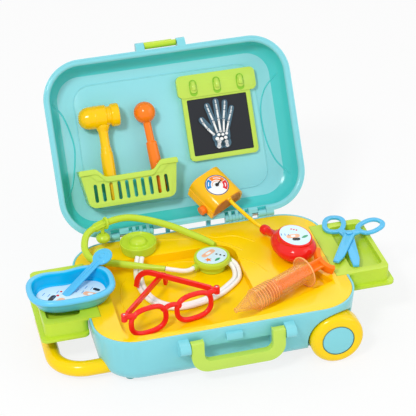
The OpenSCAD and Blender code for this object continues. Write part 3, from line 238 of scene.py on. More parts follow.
def clearMaterial():
    # Tinted see-through plastic, denser where it is seen edge on
    material = plastic("clear_orange", clear)
    tree = material.node_tree
    shader = tree.nodes["Principled BSDF"]
    shader.inputs["Specular IOR Level"].default_value = 1.0
    edge = tree.nodes.new("ShaderNodeLayerWeight")
    edge.inputs["Blend"].default_value = clear["blend"]
    dense = tree.nodes.new("ShaderNodeMapRange")
    dense.inputs["To Min"].default_value, dense.inputs["To Max"].default_value = clear["dense"]
    tree.links.new(edge.outputs["Facing"], dense.inputs["Value"])
    tree.links.new(dense.outputs["Result"], shader.inputs["Alpha"])
    return material


looks["clear_orange"] = clearMaterial()
slotOf = {row["node"]: row["material_slot"] for row in frame["record"]["subparts"]}
bodyOf = {node: body for body, members in frame["record"]["behaviour"]["bodies"].items() for node in members}
print("materials made:", len(looks))


# ---- mesh helpers
def shadeByAngle(mesh, degrees):
    work = bmesh.new()
    work.from_mesh(mesh)
    for face in work.faces:
        face.smooth = True
    for edge in work.edges:
        edge.smooth = not (len(edge.link_faces) == 2 and edge.calc_face_angle(0) > math.radians(degrees))
    work.to_mesh(mesh)
    work.free()


def addPiece(name, work, body, slot, replaced=(), sharp=40, materials=()):
    mesh = bpy.data.meshes.new(name)
    work.to_mesh(mesh)
    work.free()
    shadeByAngle(mesh, sharp)
    for material in materials or [slot]:
        mesh.materials.append(looks[material])
    piece = bpy.data.objects.new(name, mesh)
    bpy.context.scene.collection.objects.link(piece)
    if body:
        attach(piece, body)
    if replaced:
        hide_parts(*replaced)
    return piece


def dress(node, width=0.6, segments=2, sharp=28, inner=None, materials=()):
    # A moulded copy of a node, its hard edges rounded; inner tells which of the materials a face takes
    work = bmesh.new()
    work.from_mesh(nodes[node].data)
    bmesh.ops.remove_doubles(work, verts=work.verts, dist=2e-6)
    bmesh.ops.dissolve_limit(work, angle_limit=math.radians(0.5), verts=work.verts, edges=work.edges)
    eased(work, width, segments, sharp)
    if inner:
        work.normal_update()
        for face in work.faces:
            face.material_index = inner(face)
    return addPiece(node + "_moulded", work, bodyOf[node], slotOf[node], [node], materials=materials)


def placed(work, place):
    bmesh.ops.transform(work, matrix=toMetres @ place, verts=work.verts)
    return work


def facesOf(place):
    # Tells a face's middle and the way it faces, in the place's own millimetres
    inverse = (toMetres @ place).inverted()
    turned = inverse.to_3x3()
    return lambda face: (inverse @ face.calc_center_median(), (turned @ face.normal).normalized())


def softened(profile, cut, steps=4):
    # The profile with its corners rounded, all but its two ends
    return [tuple(point) for point in softLine(profile, cut, steps)]


def softLine(points, cut, steps=5):
    # A line of points with its corners rounded
    line = [Vector(points[0])]
    for before, corner, after in zip(points, points[1:], points[2:]):
        before, corner, after = Vector(before), Vector(corner), Vector(after)
        near = min(cut, (before - corner).length * 0.45, (after - corner).length * 0.45)
        start = corner + (before - corner).normalized() * near
        end = corner + (after - corner).normalized() * near
        for step in range(steps + 1):
            t = step / steps
            line.append(start * (1 - t) ** 2 + corner * 2 * t * (1 - t) + end * t * t)
    return line + [Vector(points[-1])]


def lathe(profile, place, steps=72):
    # Spins a profile of (radius, height) about the height
    work = bmesh.new()
    verts = [work.verts.new((r, 0, z)) for r, z in profile]
    edges = [work.edges.new(pair) for pair in zip(verts, verts[1:])]
    bmesh.ops.spin(work, geom=verts + edges, cent=(0, 0, 0), axis=(0, 0, 1), angle=math.tau, steps=steps,
                   use_merge=True, use_duplicate=False)
    bmesh.ops.remove_doubles(work, verts=work.verts, dist=0.002)
    bmesh.ops.recalc_face_normals(work, faces=work.faces)
    return placed(work, place)


def loft(rings, place, inside=None, closed=False):
    # Joins rings of points; the faces after ring number inside take the second shade
    work = bmesh.new()
    loops = []
    for ring in rings:
        verts = [work.verts.new(point) for point in ring]
        loops.append([work.edges.new(pair) for pair in zip(verts, verts[1:] + verts[:1])])
    for number, (first, second) in enumerate(zip(loops, loops[1:])):
        made = bmesh.ops.bridge_loops(work, edges=first + second)
        for face in made["faces"]:
            face.material_index = 1 if inside is not None and number >= inside else 0
    if closed:
        bmesh.ops.bridge_loops(work, edges=loops[-1] + loops[0])
    else:
        caps = bmesh.ops.holes_fill(work, edges=loops[0] + loops[-1], sides=0)
    bmesh.ops.recalc_face_normals(work, faces=work.faces)
    if inside is not None:
        for face in caps["faces"]:
            face.material_index = 1 if face.normal.z > 0 else 0
    return placed(work, place)


def smoothLine(points, steps=6):
    # A smooth line through the points
    points = [Vector(p) for p in points]
    line = []
    last = len(points) - 1
    for i in range(last):
        a, b, c, d = points[max(i - 1, 0)], points[i], points[i + 1], points[min(i + 2, last)]
        for step in range(steps):
            t = step / steps
            line.append(0.5 * (2 * b + (c - a) * t + (2 * a - 5 * b + 4 * c - d) * t ** 2
                               + (3 * b - 3 * c + d - a) * t ** 3))
    return line + [points[-1]]


def tube(points, radii, place, sides=4, closed=False):
    # A round tube along the points; radii is one radius or one for each point
    line = bpy.data.curves.new("line", "CURVE")
    line.dimensions = "3D"
    line.bevel_depth = mm
    line.bevel_resolution = sides
    line.use_fill_caps = True
    spline = line.splines.new("POLY")
    spline.points.add(len(points) - 1)
    for i, (knot, point) in enumerate(zip(spline.points, points)):
        knot.co = (*(toMetres @ place @ Vector(point)), 1)
        knot.radius = radii[i] if isinstance(radii, list) else radii
    spline.use_cyclic_u = closed
    holder = bpy.data.objects.new("line", line)
    mesh = bpy.data.meshes.new_from_object(holder)
    work = bmesh.new()
    work.from_mesh(mesh)
    bmesh.ops.remove_doubles(work, verts=work.verts, dist=1e-6)
    bmesh.ops.recalc_face_normals(work, faces=work.faces)
    bpy.data.objects.remove(holder)
    bpy.data.meshes.remove(mesh)
    bpy.data.curves.remove(line)
    return work


def eased(work, width, segments=2, sharp=28):
    # Rounds the hard edges
    hard = [e for e in work.edges if len(e.link_faces) == 2 and e.calc_face_angle(0) > math.radians(sharp)]
    bmesh.ops.bevel(work, geom=hard, offset=width * mm, offset_type="OFFSET", segments=segments, profile=0.5,
                    affect="EDGES", clamp_overlap=True, material=-1)
    return work


def dropped(node, points, place, start, sink=0.0):
    # The points moved down onto a node's surface, in the place's own millimetres
    mesh = nodes[node].data
    tree = BVHTree.FromPolygons([v.co for v in mesh.vertices], [p.vertices for p in mesh.polygons])
    whole = toMetres @ place
    down = (whole.to_3x3() @ Vector((0, 0, -1))).normalized()
    out = []
    for x, y, z in points:
        spot = tree.ray_cast(whole @ Vector((x, y, start)), down)[0]
        out.append(whole.inverted() @ spot - Vector((0, 0, sink)) if spot else Vector((x, y, z)))
    return out


def join(works):
    # Puts several meshes into one
    work = bmesh.new()
    for part in works:
        mesh = bpy.data.meshes.new("part")
        part.to_mesh(mesh)
        part.free()
        work.from_mesh(mesh)
        bpy.data.meshes.remove(mesh)
    return work


def plates(outlines, place, thick=0.25):
    # Thin plates standing on the place's own plane, such as printed shapes
    work = bmesh.new()
    for outline in outlines:
        work.faces.new([work.verts.new((x, y, 0)) for x, y in outline])
    raised = bmesh.ops.extrude_face_region(work, geom=work.faces[:])
    bmesh.ops.translate(work, verts=[v for v in raised["geom"] if isinstance(v, bmesh.types.BMVert)],
                        vec=(0, 0, thick))
    bmesh.ops.recalc_face_normals(work, faces=work.faces)
    return placed(work, place)


def arc(x, y, radius, start, sweep=90, steps=8):
    # Points of a part of a circle, from an angle on, in degrees
    angles = [math.radians(start + sweep * i / steps) for i in range(steps + 1)]
    return [(x + radius * math.cos(a), y + radius * math.sin(a)) for a in angles]


def capsule(ax, ay, bx, by, half, steps=7):
    # A bar with round ends, from one middle to the other
    aim = math.degrees(math.atan2(by - ay, bx - ax))
    return arc(bx, by, half, aim - 90, 180, steps) + arc(ax, ay, half, aim + 90, 180, steps)


def squarish(c, s, power):
    # How far an oval reaches at a cosine and sine; a higher power makes it squarer
    return (abs(c) ** power + abs(s) ** power) ** (-1 / power)


def oval(x, y, halfX, halfY, power=2.0, steps=40, lean=0.0):
    # The lean is in radians
    out = []
    for i in range(steps):
        c, s = math.cos(math.tau * i / steps), math.sin(math.tau * i / steps)
        k = squarish(c, s, power)
        px, py = halfX * k * c, halfY * k * s
        out.append((x + px * math.cos(lean) - py * math.sin(lean), y + px * math.sin(lean) + py * math.cos(lean)))
    return out


def sector(inner, outer, first, last, steps=18):
    # Part of a flat ring, between two angles in degrees
    return arc(0, 0, outer, first, last - first, steps) + arc(0, 0, inner, last, first - last, steps)


def star(x, y, size, points=5, lean=90):
    out = []
    for i in range(2 * points):
        reach = size * (1 if i % 2 == 0 else 0.45)
        a = math.radians(lean + 180 * i / points)
        out.append((x + reach * math.cos(a), y + reach * math.sin(a)))
    return out


def printed(name, outlines, place, body, ink, thick=0.25, slot="label"):
    return addPiece(name, plates(outlines, place, thick), body, slot, materials=[ink])


def printSet(rows, place, body, thick):
    # Prints rows of name, outlines, height above the place and ink
    for name, outlines, above, ink in rows:
        printed(name, outlines, place @ move(0, 0, above), body, ink, thick)


# ---- cords: the hoses of the stethoscope and the cuff's air tube
cords = {"hose": 3.2, "apart": 3.35, "air": 2.7}
hoseKnots = [(-86, 65.2, 6), (-89, 59, 0.5), (-92, 51, -7), (-94, 38, -10.4), (-95, 14, -10.4), (-90, -14, -10.4),
             (-79, -33, -10.4), (-62, -45, -10.4), (-42, -47, -10.4), (-16, -41, -10.4), (6, -30, -10.4),
             (25, -14, -10.4), (35.4, -2, -10.2), (39.4, 12, -8.6), (38.4, 25, -5.6), (33, 35, -3.4)]
shortKnots = [(-57.6, 26.8, 4.8), (-46, 22.8, 3), (-34, 23, -1), (-24, 27, -4), (-15.6, 31.6, -4)]
airKnots = [(60, 121.5, 39.1), (64, 115, 35.4), (72, 107, 28), (80, 100, 20.6), (88, 94, 13.4), (93.4, 89.4, 10),
            (96.2, 82.8, 9.1)]


def beside(line, offset):
    # The line moved sideways in plan
    out = []
    for i, point in enumerate(line):
        along = line[min(i + 1, len(line) - 1)] - line[max(i - 1, 0)]
        side = Vector((-along.y, along.x, 0)).normalized()
        out.append(point + side * offset)
    return out


def addCord(name, line, radius, body, slot, node):
    piece = addPiece(name, tube(line, radius, deckAt, 3), body, slot, [node], sharp=50)
    path = [toMetres @ deckAt @ p for p in line]
    length = sum((b - a).length for a, b in zip(path, path[1:]))
    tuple(path[0])
    print("cord", name, round(length, 3))
    return piece, path


for name, offset in (("hose_left", -cords["apart"]), ("hose_right", cords["apart"])):
    addCord(name, beside(smoothLine(hoseKnots, 5), offset), cords["hose"], "stethoscope", "white_rubber", "hoses")
addCord("hose_short", smoothLine(shortKnots, 6), cords["hose"], "stethoscope", "white_rubber", "short_hose")
airTube, airPath = addCord("air_hose", smoothLine(airKnots, 6), cords["air"], None, "yellow_plastic", "air_tube")
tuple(airPath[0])
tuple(airPath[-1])
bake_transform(airTube)

# ---- the stethoscope's headset
headset = {"radius": 5.0, "thin": 3.7, "taper": (9, 16), "sleeve": (49, 58), "grips": 10, "gripOut": 6.0}
headKnots = [(22, 66, 4.9), (12, 79, 7), (-5, 88, 14), (-28, 101, 23), (-48, 110, 29), (-68, 117, 34), (-88, 121, 38),
             (-106, 120, 39), (-122, 117, 37.5), (-134, 115, 35), (-146, 111, 32), (-154, 104, 27), (-158, 93, 17),
             (-155, 81, 10), (-147, 73, 7), (-136, 67.5, 5.8), (-123, 61, 5), (-108, 53, 4.9), (-92, 44.5, 4.9),
             (-76, 36, 4.9), (-58, 27, 4.9)]


def makeHeadset():
    line = smoothLine(headKnots, 6)
    count = len(line)
    near, far = headset["taper"]
    radii = [headset["thin"] + (headset["radius"] - headset["thin"]) * min(1, i / near, (count - 1 - i) / far)
             for i in range(count)]
    first, last = headset["sleeve"]
    sleeve = line[first:last]
    grips = []
    for i in range(headset["grips"]):
        a = math.tau * i / headset["grips"]
        grip = []
        for before, point, after in zip(line[first - 1:last - 2], line[first:last - 1], line[first + 1:last]):
            along = (after - before).normalized()
            side = along.cross(Vector((0, 0, 1))).normalized()
            grip.append(point + headset["gripOut"] * (side * math.cos(a) + side.cross(along) * math.sin(a)))
        grips.append(tube(grip, 0.75, deckAt, 2))
    collarAt = deckAt @ move(-122, 117, 37.5) @ turn(15, "Z") @ turn(8, "Y") @ turn(90, "Y")
    profile = [(0, -2.2), (7.4, -2.2), (9.0, -1.2), (9.0, 0.6), (7.6, 1.6), (0, 1.8)]
    collar = lathe(softened(profile, 0.8), collarAt, 48)
    stems = [tube([(-128, 113, 22), (-128, 113.6, 29), (-127, 115, 36)], [2.6, 3, 3.6], deckAt, 3),
             tube([(-137, 68, 7.6), (-137, 72, 8.4), (-137, 76, 8.8)], [3, 2.6, 2.4], deckAt, 3)]
    ends = [5.0] + [6.1] * (len(sleeve) - 2) + [5.4]
    tubes = [tube(line, radii, deckAt, 4), tube(sleeve, ends, deckAt, 4)]
    addPiece("headset_tube", join(tubes + [collar] + stems + grips), "stethoscope", "lime_plastic", ["headset"],
             sharp=50)


makeHeadset()

# ---- the stethoscope's open cup and its labelled disc
cup = {"at": (-82, 93, 0.2)}
disc = {"at": (11, 39, -13.8), "top": 19.6, "sticker": 0.22}


def makeDiscs():
    cupAt = deckAt @ move(*cup["at"])
    profile = [(0, 0), (22.5, 0), (24.2, 1.2), (25.8, 12.4), (26, 14.4), (25, 15), (23.8, 14.4), (23, 12.4),
               (15, 10.6), (12.6, 11), (11.6, 15.6), (9, 18), (4.6, 19), (0, 19.2)]
    addPiece("chest_cup_moulded", lathe(softened(profile, 1.2), cupAt), "stethoscope", "lime_plastic", ["chest_cup"],
             sharp=60)
    discAt = deckAt @ move(*disc["at"])
    profile = [(0, 0), (18.5, 0), (19, 1), (19, 4), (20.4, 8), (24.4, 10.6), (25.6, 12.6), (25.6, 17.4),
               (24.4, 19.8), (22.8, 20), (21.9, 19.2), (0, 19.2)]
    clips = [tube([(-17.4, 30.6, -4), (-7, 34.6, -3.6)], 4.7, deckAt, 3),
             tube([(35.6, 29, -4.6), (24, 38, -2.6)], [3.9, 4.6], deckAt, 3),
             tube([(38, 34, -3.6), (26, 43, -2.2)], [3.9, 4.6], deckAt, 3)]
    body = "stethoscope"
    addPiece("chest_disc_moulded", join([lathe(softened(profile, 1.0), discAt)] + clips), body, "lime_plastic",
             ["chest_disc"], sharp=50)
    faceAt = discAt @ move(0, 0, disc["top"] + disc["sticker"])
    sticker = softened([(0, -0.5), (21.1, -0.5), (21.3, 0), (0, 0)], 0.2)
    addPiece("disc_sticker", lathe(sticker, faceAt), body, "label", ["disc_label"])
    printed("disc_plaster", [capsule(-10, 2, 3, 11, 4.2)], faceAt, body, "inkPeach", 0.22)
    printed("disc_pad", [capsule(-5.4, 5.2, -1.6, 7.8, 2.2)], faceAt @ move(0, 0, 0.2), body, "inkWhite", 0.12)
    dots = [oval(7 + 4.6 * i, 1.4 - 3.6 * i, 1.5, 1.5, steps=16) for i in range(3)]
    printed("disc_dots", dots, faceAt, body, "inkBlack")
    printed("disc_star", [star(-7.5, -9.5, 5.2)], faceAt, body, "inkOrange")
    printed("disc_leaf", [oval(5, -12, 5.4, 2.3, 1.5, 20, 0.6)], faceAt, body, "inkGreen")


makeDiscs()

# ---- the cuff's bulb: place along it, half width, half height and drop at each station
bulb = {"label": (24.0, 19.5), "lean": 9.0, "faceAt": (-1, 0.5, 17.0), "around": 56, "print": 0.1}
bulbStations = [(-78.4, 2.0, 2.0, 8), (-78, 4.6, 4.6, 8), (-76.5, 6.6, 6.6, 8), (-72, 7.2, 7.2, 7.6),
                (-67.6, 6.9, 6.9, 7.1), (-66, 5.6, 5.6, 6.9), (-60, 5.4, 5.4, 6), (-52, 6, 6, 4.6), (-45, 9, 8, 3),
                (-38, 15, 11.5, 1.4), (-30, 20.5, 14, 0.4), (-20, 25.2, 15.8, 0), (-8, 28, 16.8, 0), (2, 28.5, 17, 0),
                (12, 26.5, 16, 0), (20, 22, 13.5, 0), (26, 15.5, 9.5, 0), (29, 8, 5, 0), (30, 3, 2, 0)]


def makeBulb():
    count = bulb["around"]
    angles = [math.tau * i / count for i in range(count)]
    rings = []
    for x, wide, high, drop in smoothLine(bulbStations, 4):
        wide, high = max(wide, 0.4), max(high, 0.3)
        rings.append([(x, wide * math.cos(a), high * math.sin(a) - drop) for a in angles])
    addPiece("bulb_moulded", loft(rings, bulbAt), "base", "red_plastic", ["bulb"], sharp=60)
    faceAt = bulbAt @ move(*bulb["faceAt"]) @ turn(bulb["lean"], "Y") @ turn(3, "X") @ turn(14, "Z")
    long, wide = bulb["label"]
    rings = []
    for moreLong, moreWide, z in ((2.4, 2.6, -7.2), (1.6, 1.6, 0.4), (0, 0, 1.5)):
        rings.append([(x, y, z) for x, y in oval(0, 0, long + moreLong, wide + moreWide, 2.0, count)])
    addPiece("bulb_rim", loft(rings, faceAt), "base", "red_plastic", sharp=30)
    sticker = oval(0, 0, long - 0.6, wide - 0.6, 2.0, count)
    addPiece("bulb_sticker", plates([sticker], faceAt @ move(0, 0, 1.45), 0.3), "base", "label", ["bulb_label"])
    printSet([
        ("bulb_plaster", [capsule(-4, -8, 3, 1, 3.8)], 0, "inkPeach"),
        ("bulb_pad", [capsule(-1.4, -4.6, 0.4, -2.4, 1.9)], bulb["print"], "inkWhite"),
        ("bulb_pill", [capsule(5, -7, 8.6, -3.6, 3.0)], 0, "inkBlack"),
        ("bulb_spots", [oval(-12 + 3.4 * i, 6 + 1.6 * i, 1.3, 1.3, steps=14) for i in range(3)], 0, "inkRed"),
        ("bulb_leaf", [oval(12, 7, 5.4, 2.2, 1.5, 20, 1.3)], 0, "inkGreen"),
        ("bulb_waves", [capsule(-16 + 4 * i, -11 + 3 * i, -13 + 4 * i, -13 + 3 * i, 0.5) for i in range(3)], 0,
         "inkBlue"),
    ], faceAt @ move(0, 0, 1.75), "base", bulb["print"])


makeBulb()

# ---- the kidney dish
dish = {"long": 119.4, "wide": 87, "power": 2.8, "label": (94, 62), "floor": 5.9, "print": 0.1}
dishDip = {"deep": 7.5, "at": 0.08, "sharp": 2.3, "wide": 86}  # the hollow in the dish's far side
# How much narrower than the rim, and how high, the dish is from its foot over the rim to its floor
dishRings = [(-29, 0), (-26, 0.6), (-21, 4), (-12, 12), (-6.4, 17.6), (-1.6, 18.8), (0, 20.6), (0, 22.6), (-2, 24.4),
             (-6, 25.3), (-11, 25.4), (-15, 24.6), (-17, 22.8), (-17.8, 18), (-18.6, 12), (-20, 8), (-23, 6.4),
             (-28, 6.0)]


def kidney(long, wide, z, count=72):
    ring = []
    for i in range(count):
        c, s = math.cos(-math.tau * i / count), math.sin(-math.tau * i / count)
        k = squarish(c, s, dish["power"])
        dip = dishDip["deep"] * math.exp(-((k * c + dishDip["at"]) * dishDip["sharp"]) ** 2) if s > 0 else 0
        ring.append((long / 2 * k * c, wide / 2 * k * s - dip * wide / dishDip["wide"], z))
    return ring


def makeDish():
    rings = [kidney(dish["long"] + less, dish["wide"] + less, z) for less, z in dishRings]
    # The rim takes a paler blue, a painted light, and the faces inside it a deeper blue, a painted shade
    addPiece("dish_moulded", loft(rings, dishAt, 11), "dish", "blue_plastic", ["dish"], sharp=50,
             materials=["dishRimLit", "dishInsideShade"])
    sticker = [(x, y) for x, y, z in kidney(*dish["label"], 0)]
    addPiece("dish_sticker", plates([sticker], dishAt @ move(0, 0, dish["floor"]), 0.4), "dish", "label",
             ["dish_label"])
    waves = [(-38 + 6.5 * i, 10 - 5 * (i % 3)) for i in range(12)]
    printSet([
        ("dish_plasters", [capsule(-26, -17, -15, -8, 5.2), capsule(20, -2, 30, -9, 4.6)], 0, "inkPeach"),
        ("dish_pads", [capsule(-22.4, -14, -18.6, -11, 2.6), capsule(23.6, -4.6, 26.4, -6.4, 2.3)], dish["print"],
         "inkWhite"),
        ("dish_pills", [capsule(-29, -3, -24, 3, 3.6), capsule(33, 5, 37, 1, 2.6),
                        oval(-8, -19, 2.4, 2.4, steps=20)], 0, "inkBlack"),
        ("dish_drops", [oval(x, y, size, size, steps=16) for x, y, size in (
            (-18, 4, 2.2), (-12, 12, 1.7), (14, -16, 1.9))], 0, "inkRed"),
        ("dish_waves", [capsule(x, y, x + 4, y + 5, 0.45) for x, y in waves], 0, "inkBlue"),
    ], dishAt @ move(0, 0, dish["floor"] + 0.4), "dish", dish["print"])


makeDish()

# ---- the spoon's ridges, over the solid's own shape
spoon = {"sides": (13, 40, 70), "middle": (9, 40, 72), "apart": 3.4, "narrowing": 0.86}


def makeSpoon():
    dress("spoon", 1.2, 3)
    near, half, far = spoon["sides"]
    ridges = [tube([(near, y, 2.9), (half, y, 3.0), (far, y * spoon["narrowing"], 2.9)], [0.6, 0.85, 0.4], spoonAt, 2)
              for y in (-spoon["apart"], spoon["apart"])]
    near, half, far = spoon["middle"]
    ridges.append(tube([(near, 0, 2.9), (half, 0, 3.0), (far, 0, 2.9)], [1.6, 1.1, 0.5], spoonAt, 2))
    profile = [(0, 2.6), (10.8, 2.6), (9.6, 3.5), (7.4, 3.2), (5.0, 3.2), (3.4, 5.2), (0, 5.6)]
    boss = lathe(softened(profile, 0.8), spoonAt, 48)
    addPiece("spoon_ridges", join(ridges + [boss]), "spoon", "blue_plastic", sharp=60)


makeSpoon()
print("instruments on the deck made")

# ---- hammer and ball tool in the basket
tools = {"z": -21, "headX": -133, "hammerX": -100, "hammerU": 170, "ballAt": (-36.5, 167, -22.7), "ball": 15.7}


def makeTools():
    headAt = lidAt @ move(tools["headX"], tools["hammerU"], tools["z"]) @ turn(90, "Y")
    profile = [(0, 0), (6, 0.5), (11, 3.2), (14.6, 8), (16.2, 14), (16.4, 23), (16.9, 24), (16.4, 25), (16.4, 39),
               (14.2, 41), (13.4, 44), (13.4, 46), (16.0, 47.6), (16.6, 49), (16.6, 57), (15.8, 58.6), (13, 59),
               (12.4, 58.2), (0, 58.2)]
    addPiece("hammer_head_moulded", lathe(softened(profile, 1.0), headAt), "hammer", "yellow_plastic",
             ["hammer_head"], sharp=50, materials=["toolYellow"])
    gripAt = lidAt @ move(tools["hammerX"], 0, tools["z"]) @ turn(-90, "X")
    profile = [(0, 46), (7.3, 46), (8.3, 48), (9.4, 60), (9.3, 100), (8.9, 117), (8.2, 118.6), (8.0, 120),
               (7.8, 124), (6.9, 126), (6.7, 140), (7.2, 148), (10.6, 155.2), (11, 158), (0, 158)]
    addPiece("hammer_handle_moulded", lathe(softened(profile, 1.2), gripAt, 48), "hammer", "yellow_plastic",
             ["hammer_handle"], sharp=50, materials=["toolYellow"])
    ballAt = lidAt @ move(*tools["ballAt"]) @ turn(4, "Z") @ turn(90, "X")
    radius = tools["ball"]
    ball = [(radius * math.sin(math.radians(a)), -radius * math.cos(math.radians(a))) for a in range(0, 157, 6)]
    stem = [(5.6, 15.6), (5.6, 40), (5.8, 42.5), (7.6, 43.6), (7.9, 46), (8.6, 70), (8.6, 112), (7.4, 117.4),
            (0, 118)]
    addPiece("ball_tool_moulded", lathe(softened(ball + stem, 0.8), ballAt, 56), "ball", "orange_plastic",
             ["ball_tool"], sharp=50)


makeTools()

# ---- basket, with a rolled lip along its dipped edge
basket = {"at": (-74, 42, -6.4), "half": 71, "top": 55.4, "dip": 13, "slope": (24, 36), "band": 8.0, "thick": 3.4}


def makeBasket():
    look = facesOf(lidAt)

    def inner(face):
        # The basket's back takes the darker teal of the lid's walls, a painted shade
        middle, facing = look(face)
        return 1 if facing.z > 0.7 and middle.z < -28 else 0

    dress("basket", 1.0, 2, inner=inner, materials=["paleLime", "lidWallShade"])
    half, top, dip, tall = basket["half"], basket["top"], basket["dip"], basket["band"]
    out, into = basket["slope"]
    left = [(-half - 1, top - tall, 0), (-half - 1, top, 0), (-half + out, top, 0), (-half + into, top - dip, 0)]
    edge = left + [(-x, y, z) for x, y, z in reversed(left)]
    upper = [(x, y) for x, y, z in softLine(edge, 4)]
    lower = [(x * 0.985, y - tall) for x, y in upper if y > top - dip - 1 and abs(x) < half]
    band = eased(plates([upper + lower[::-1]], lidAt @ move(*basket["at"]), basket["thick"]), 1.2, 3)
    addPiece("basket_lip", band, "lid", "lime_plastic", materials=["paleLime"], sharp=50)


makeBasket()

# ---- the picture frame's tongues and the film's print, the bones of a hand
picture = {"at": (73, 134, -31.1), "print": (0.12, 0.16), "clips": (75.5, 191.5, -29.4), "pitch": 35}
bones = {
    "arm": [(-7, -31.5, -5.6, -25, 3.0), (5.4, -31.5, 5.0, -26, 2.6)],
    "wrist": [(-8, -20, -8, -20, 2.9), (-1.6, -21, -1.2, -21, 2.7), (4.6, -20, 5, -20, 2.6),
              (-5, -14.6, -4.6, -14.6, 2.4), (1, -15, 1.4, -15, 2.3), (6.8, -14.2, 7, -14.2, 2.2)],
    "palm": [(-12.4, -13, -19, -5, 1.9), (-6.8, -10, -10, 5, 1.8), (-1.6, -10, -2, 7, 1.9),
             (3.2, -10.4, 5.4, 5.6, 1.8), (7.6, -10.6, 12, 2, 1.6)],
    "fingers": [(-21.4, -1.6, -25, 4.6, 1.6), (-26.4, 8, -27.6, 11.6, 1.3), (-11, 9, -13.4, 17.4, 1.6),
                (-14.2, 20.8, -15.4, 25, 1.3), (-16, 28, -16.6, 30.6, 1.1), (-2, 11, -2.2, 20.4, 1.7),
                (-2.3, 24, -2.5, 29.4, 1.4), (-2.6, 32.6, -2.6, 35.4, 1.1), (6, 9.6, 8, 18.2, 1.6),
                (8.8, 21.6, 9.8, 26.4, 1.3), (10.4, 29.4, 10.8, 32, 1.1), (13.2, 5.6, 16, 11.6, 1.4),
                (17.2, 14.6, 18.4, 18, 1.2), (19.2, 20.8, 19.8, 22.8, 1.0)],
}
flesh = [(-5, -27, -3, -24, 8), (4, -27, 3, -24, 8), (-5, -18, 0, -2, 10), (4, -18, 4, -2, 8),
         (-12, -10, -27, 10, 4.4), (-8, -4, -16, 29, 4.4), (-2, 0, -2.6, 34, 4.4), (5, -2, 10.6, 30.6, 4.2),
         (9, -6, 19.6, 21.4, 3.8)]


def knobbed(ax, ay, bx, by, half):
    # A bone: a slim shaft with a round end at each side, or one round bone where it is short
    if (ax - bx) ** 2 + (ay - by) ** 2 < 4:
        return [oval(ax, ay, half, half * 0.9, steps=18)]
    return [capsule(ax, ay, bx, by, half * 0.76)] + [oval(x, y, half, half, steps=14) for x, y in (
        (ax, ay), (bx, by))]


def makePicture():
    dress("picture_frame", 0.8, 2, materials=["paleLime"])
    dress("picture_film", 0.1, 1)
    place = lidAt @ move(*picture["at"])
    under, over = picture["print"]
    printed("film_flesh", [capsule(*row) for row in flesh], place, "lid", "inkSlate", under, "dark_film")
    printed("film_bones", [outline for rows in bones.values() for row in rows for outline in knobbed(*row)],
            place @ move(0, 0, 0.1), "lid", "inkWhite", over, "dark_film")
    top = lidAt @ move(*picture["clips"])
    across = [picture["pitch"] * i for i in (-1, 0, 1)]
    # Dark lime plates in the tongues' recesses, a painted shade
    printed("frame_recess_shade", [capsule(x, -6.4, x, 6.4, 5.6, 10) for x in across], top, "lid", "recessShade", 0.35,
            "lime_plastic")
    tongues = [tube(smoothLine([(x, -3.4, 3.2), (x, 1, 4.0), (x, 5.6, 2.6), (x, 8, 0.2)], 4),
                    [2.2] + [3.7] * 11 + [3.0], top, 4) for x in across]
    addPiece("frame_tongues", join(tongues), "lid", "lime_plastic", sharp=50, materials=["paleLime"])


makePicture()

# ---- the cuff and its dial
cuff = {"round": 15, "shoulder": 12.5, "side": 24.5, "corner": 3, "lining": (2.0, 3.5), "end": 26.3, "rib": 1.1,
        "dialTurn": 42, "dialFace": 15.38, "print": 0.03}
flute = {"x": 27.6, "half": 25.6, "first": -13.5, "pitch": 4.1, "radius": 1.5, "rows": 4}


def cuffRing(t, y, steps=12):
    # Outline of the cuff across its tunnel, t in from the outside
    radius, shoulder, side, corner = cuff["round"] - t, cuff["shoulder"], cuff["side"] - t, cuff["corner"]
    low = t - shoulder
    corners = [(shoulder, 0.5, radius, 0), (-shoulder, 0.5, radius, 90), (-side, low, corner, 180),
               (side, low, corner, 270)]
    return [(px, y, pz) for x, z, r, start in corners for px, pz in arc(x, z, r, start, steps=steps)]


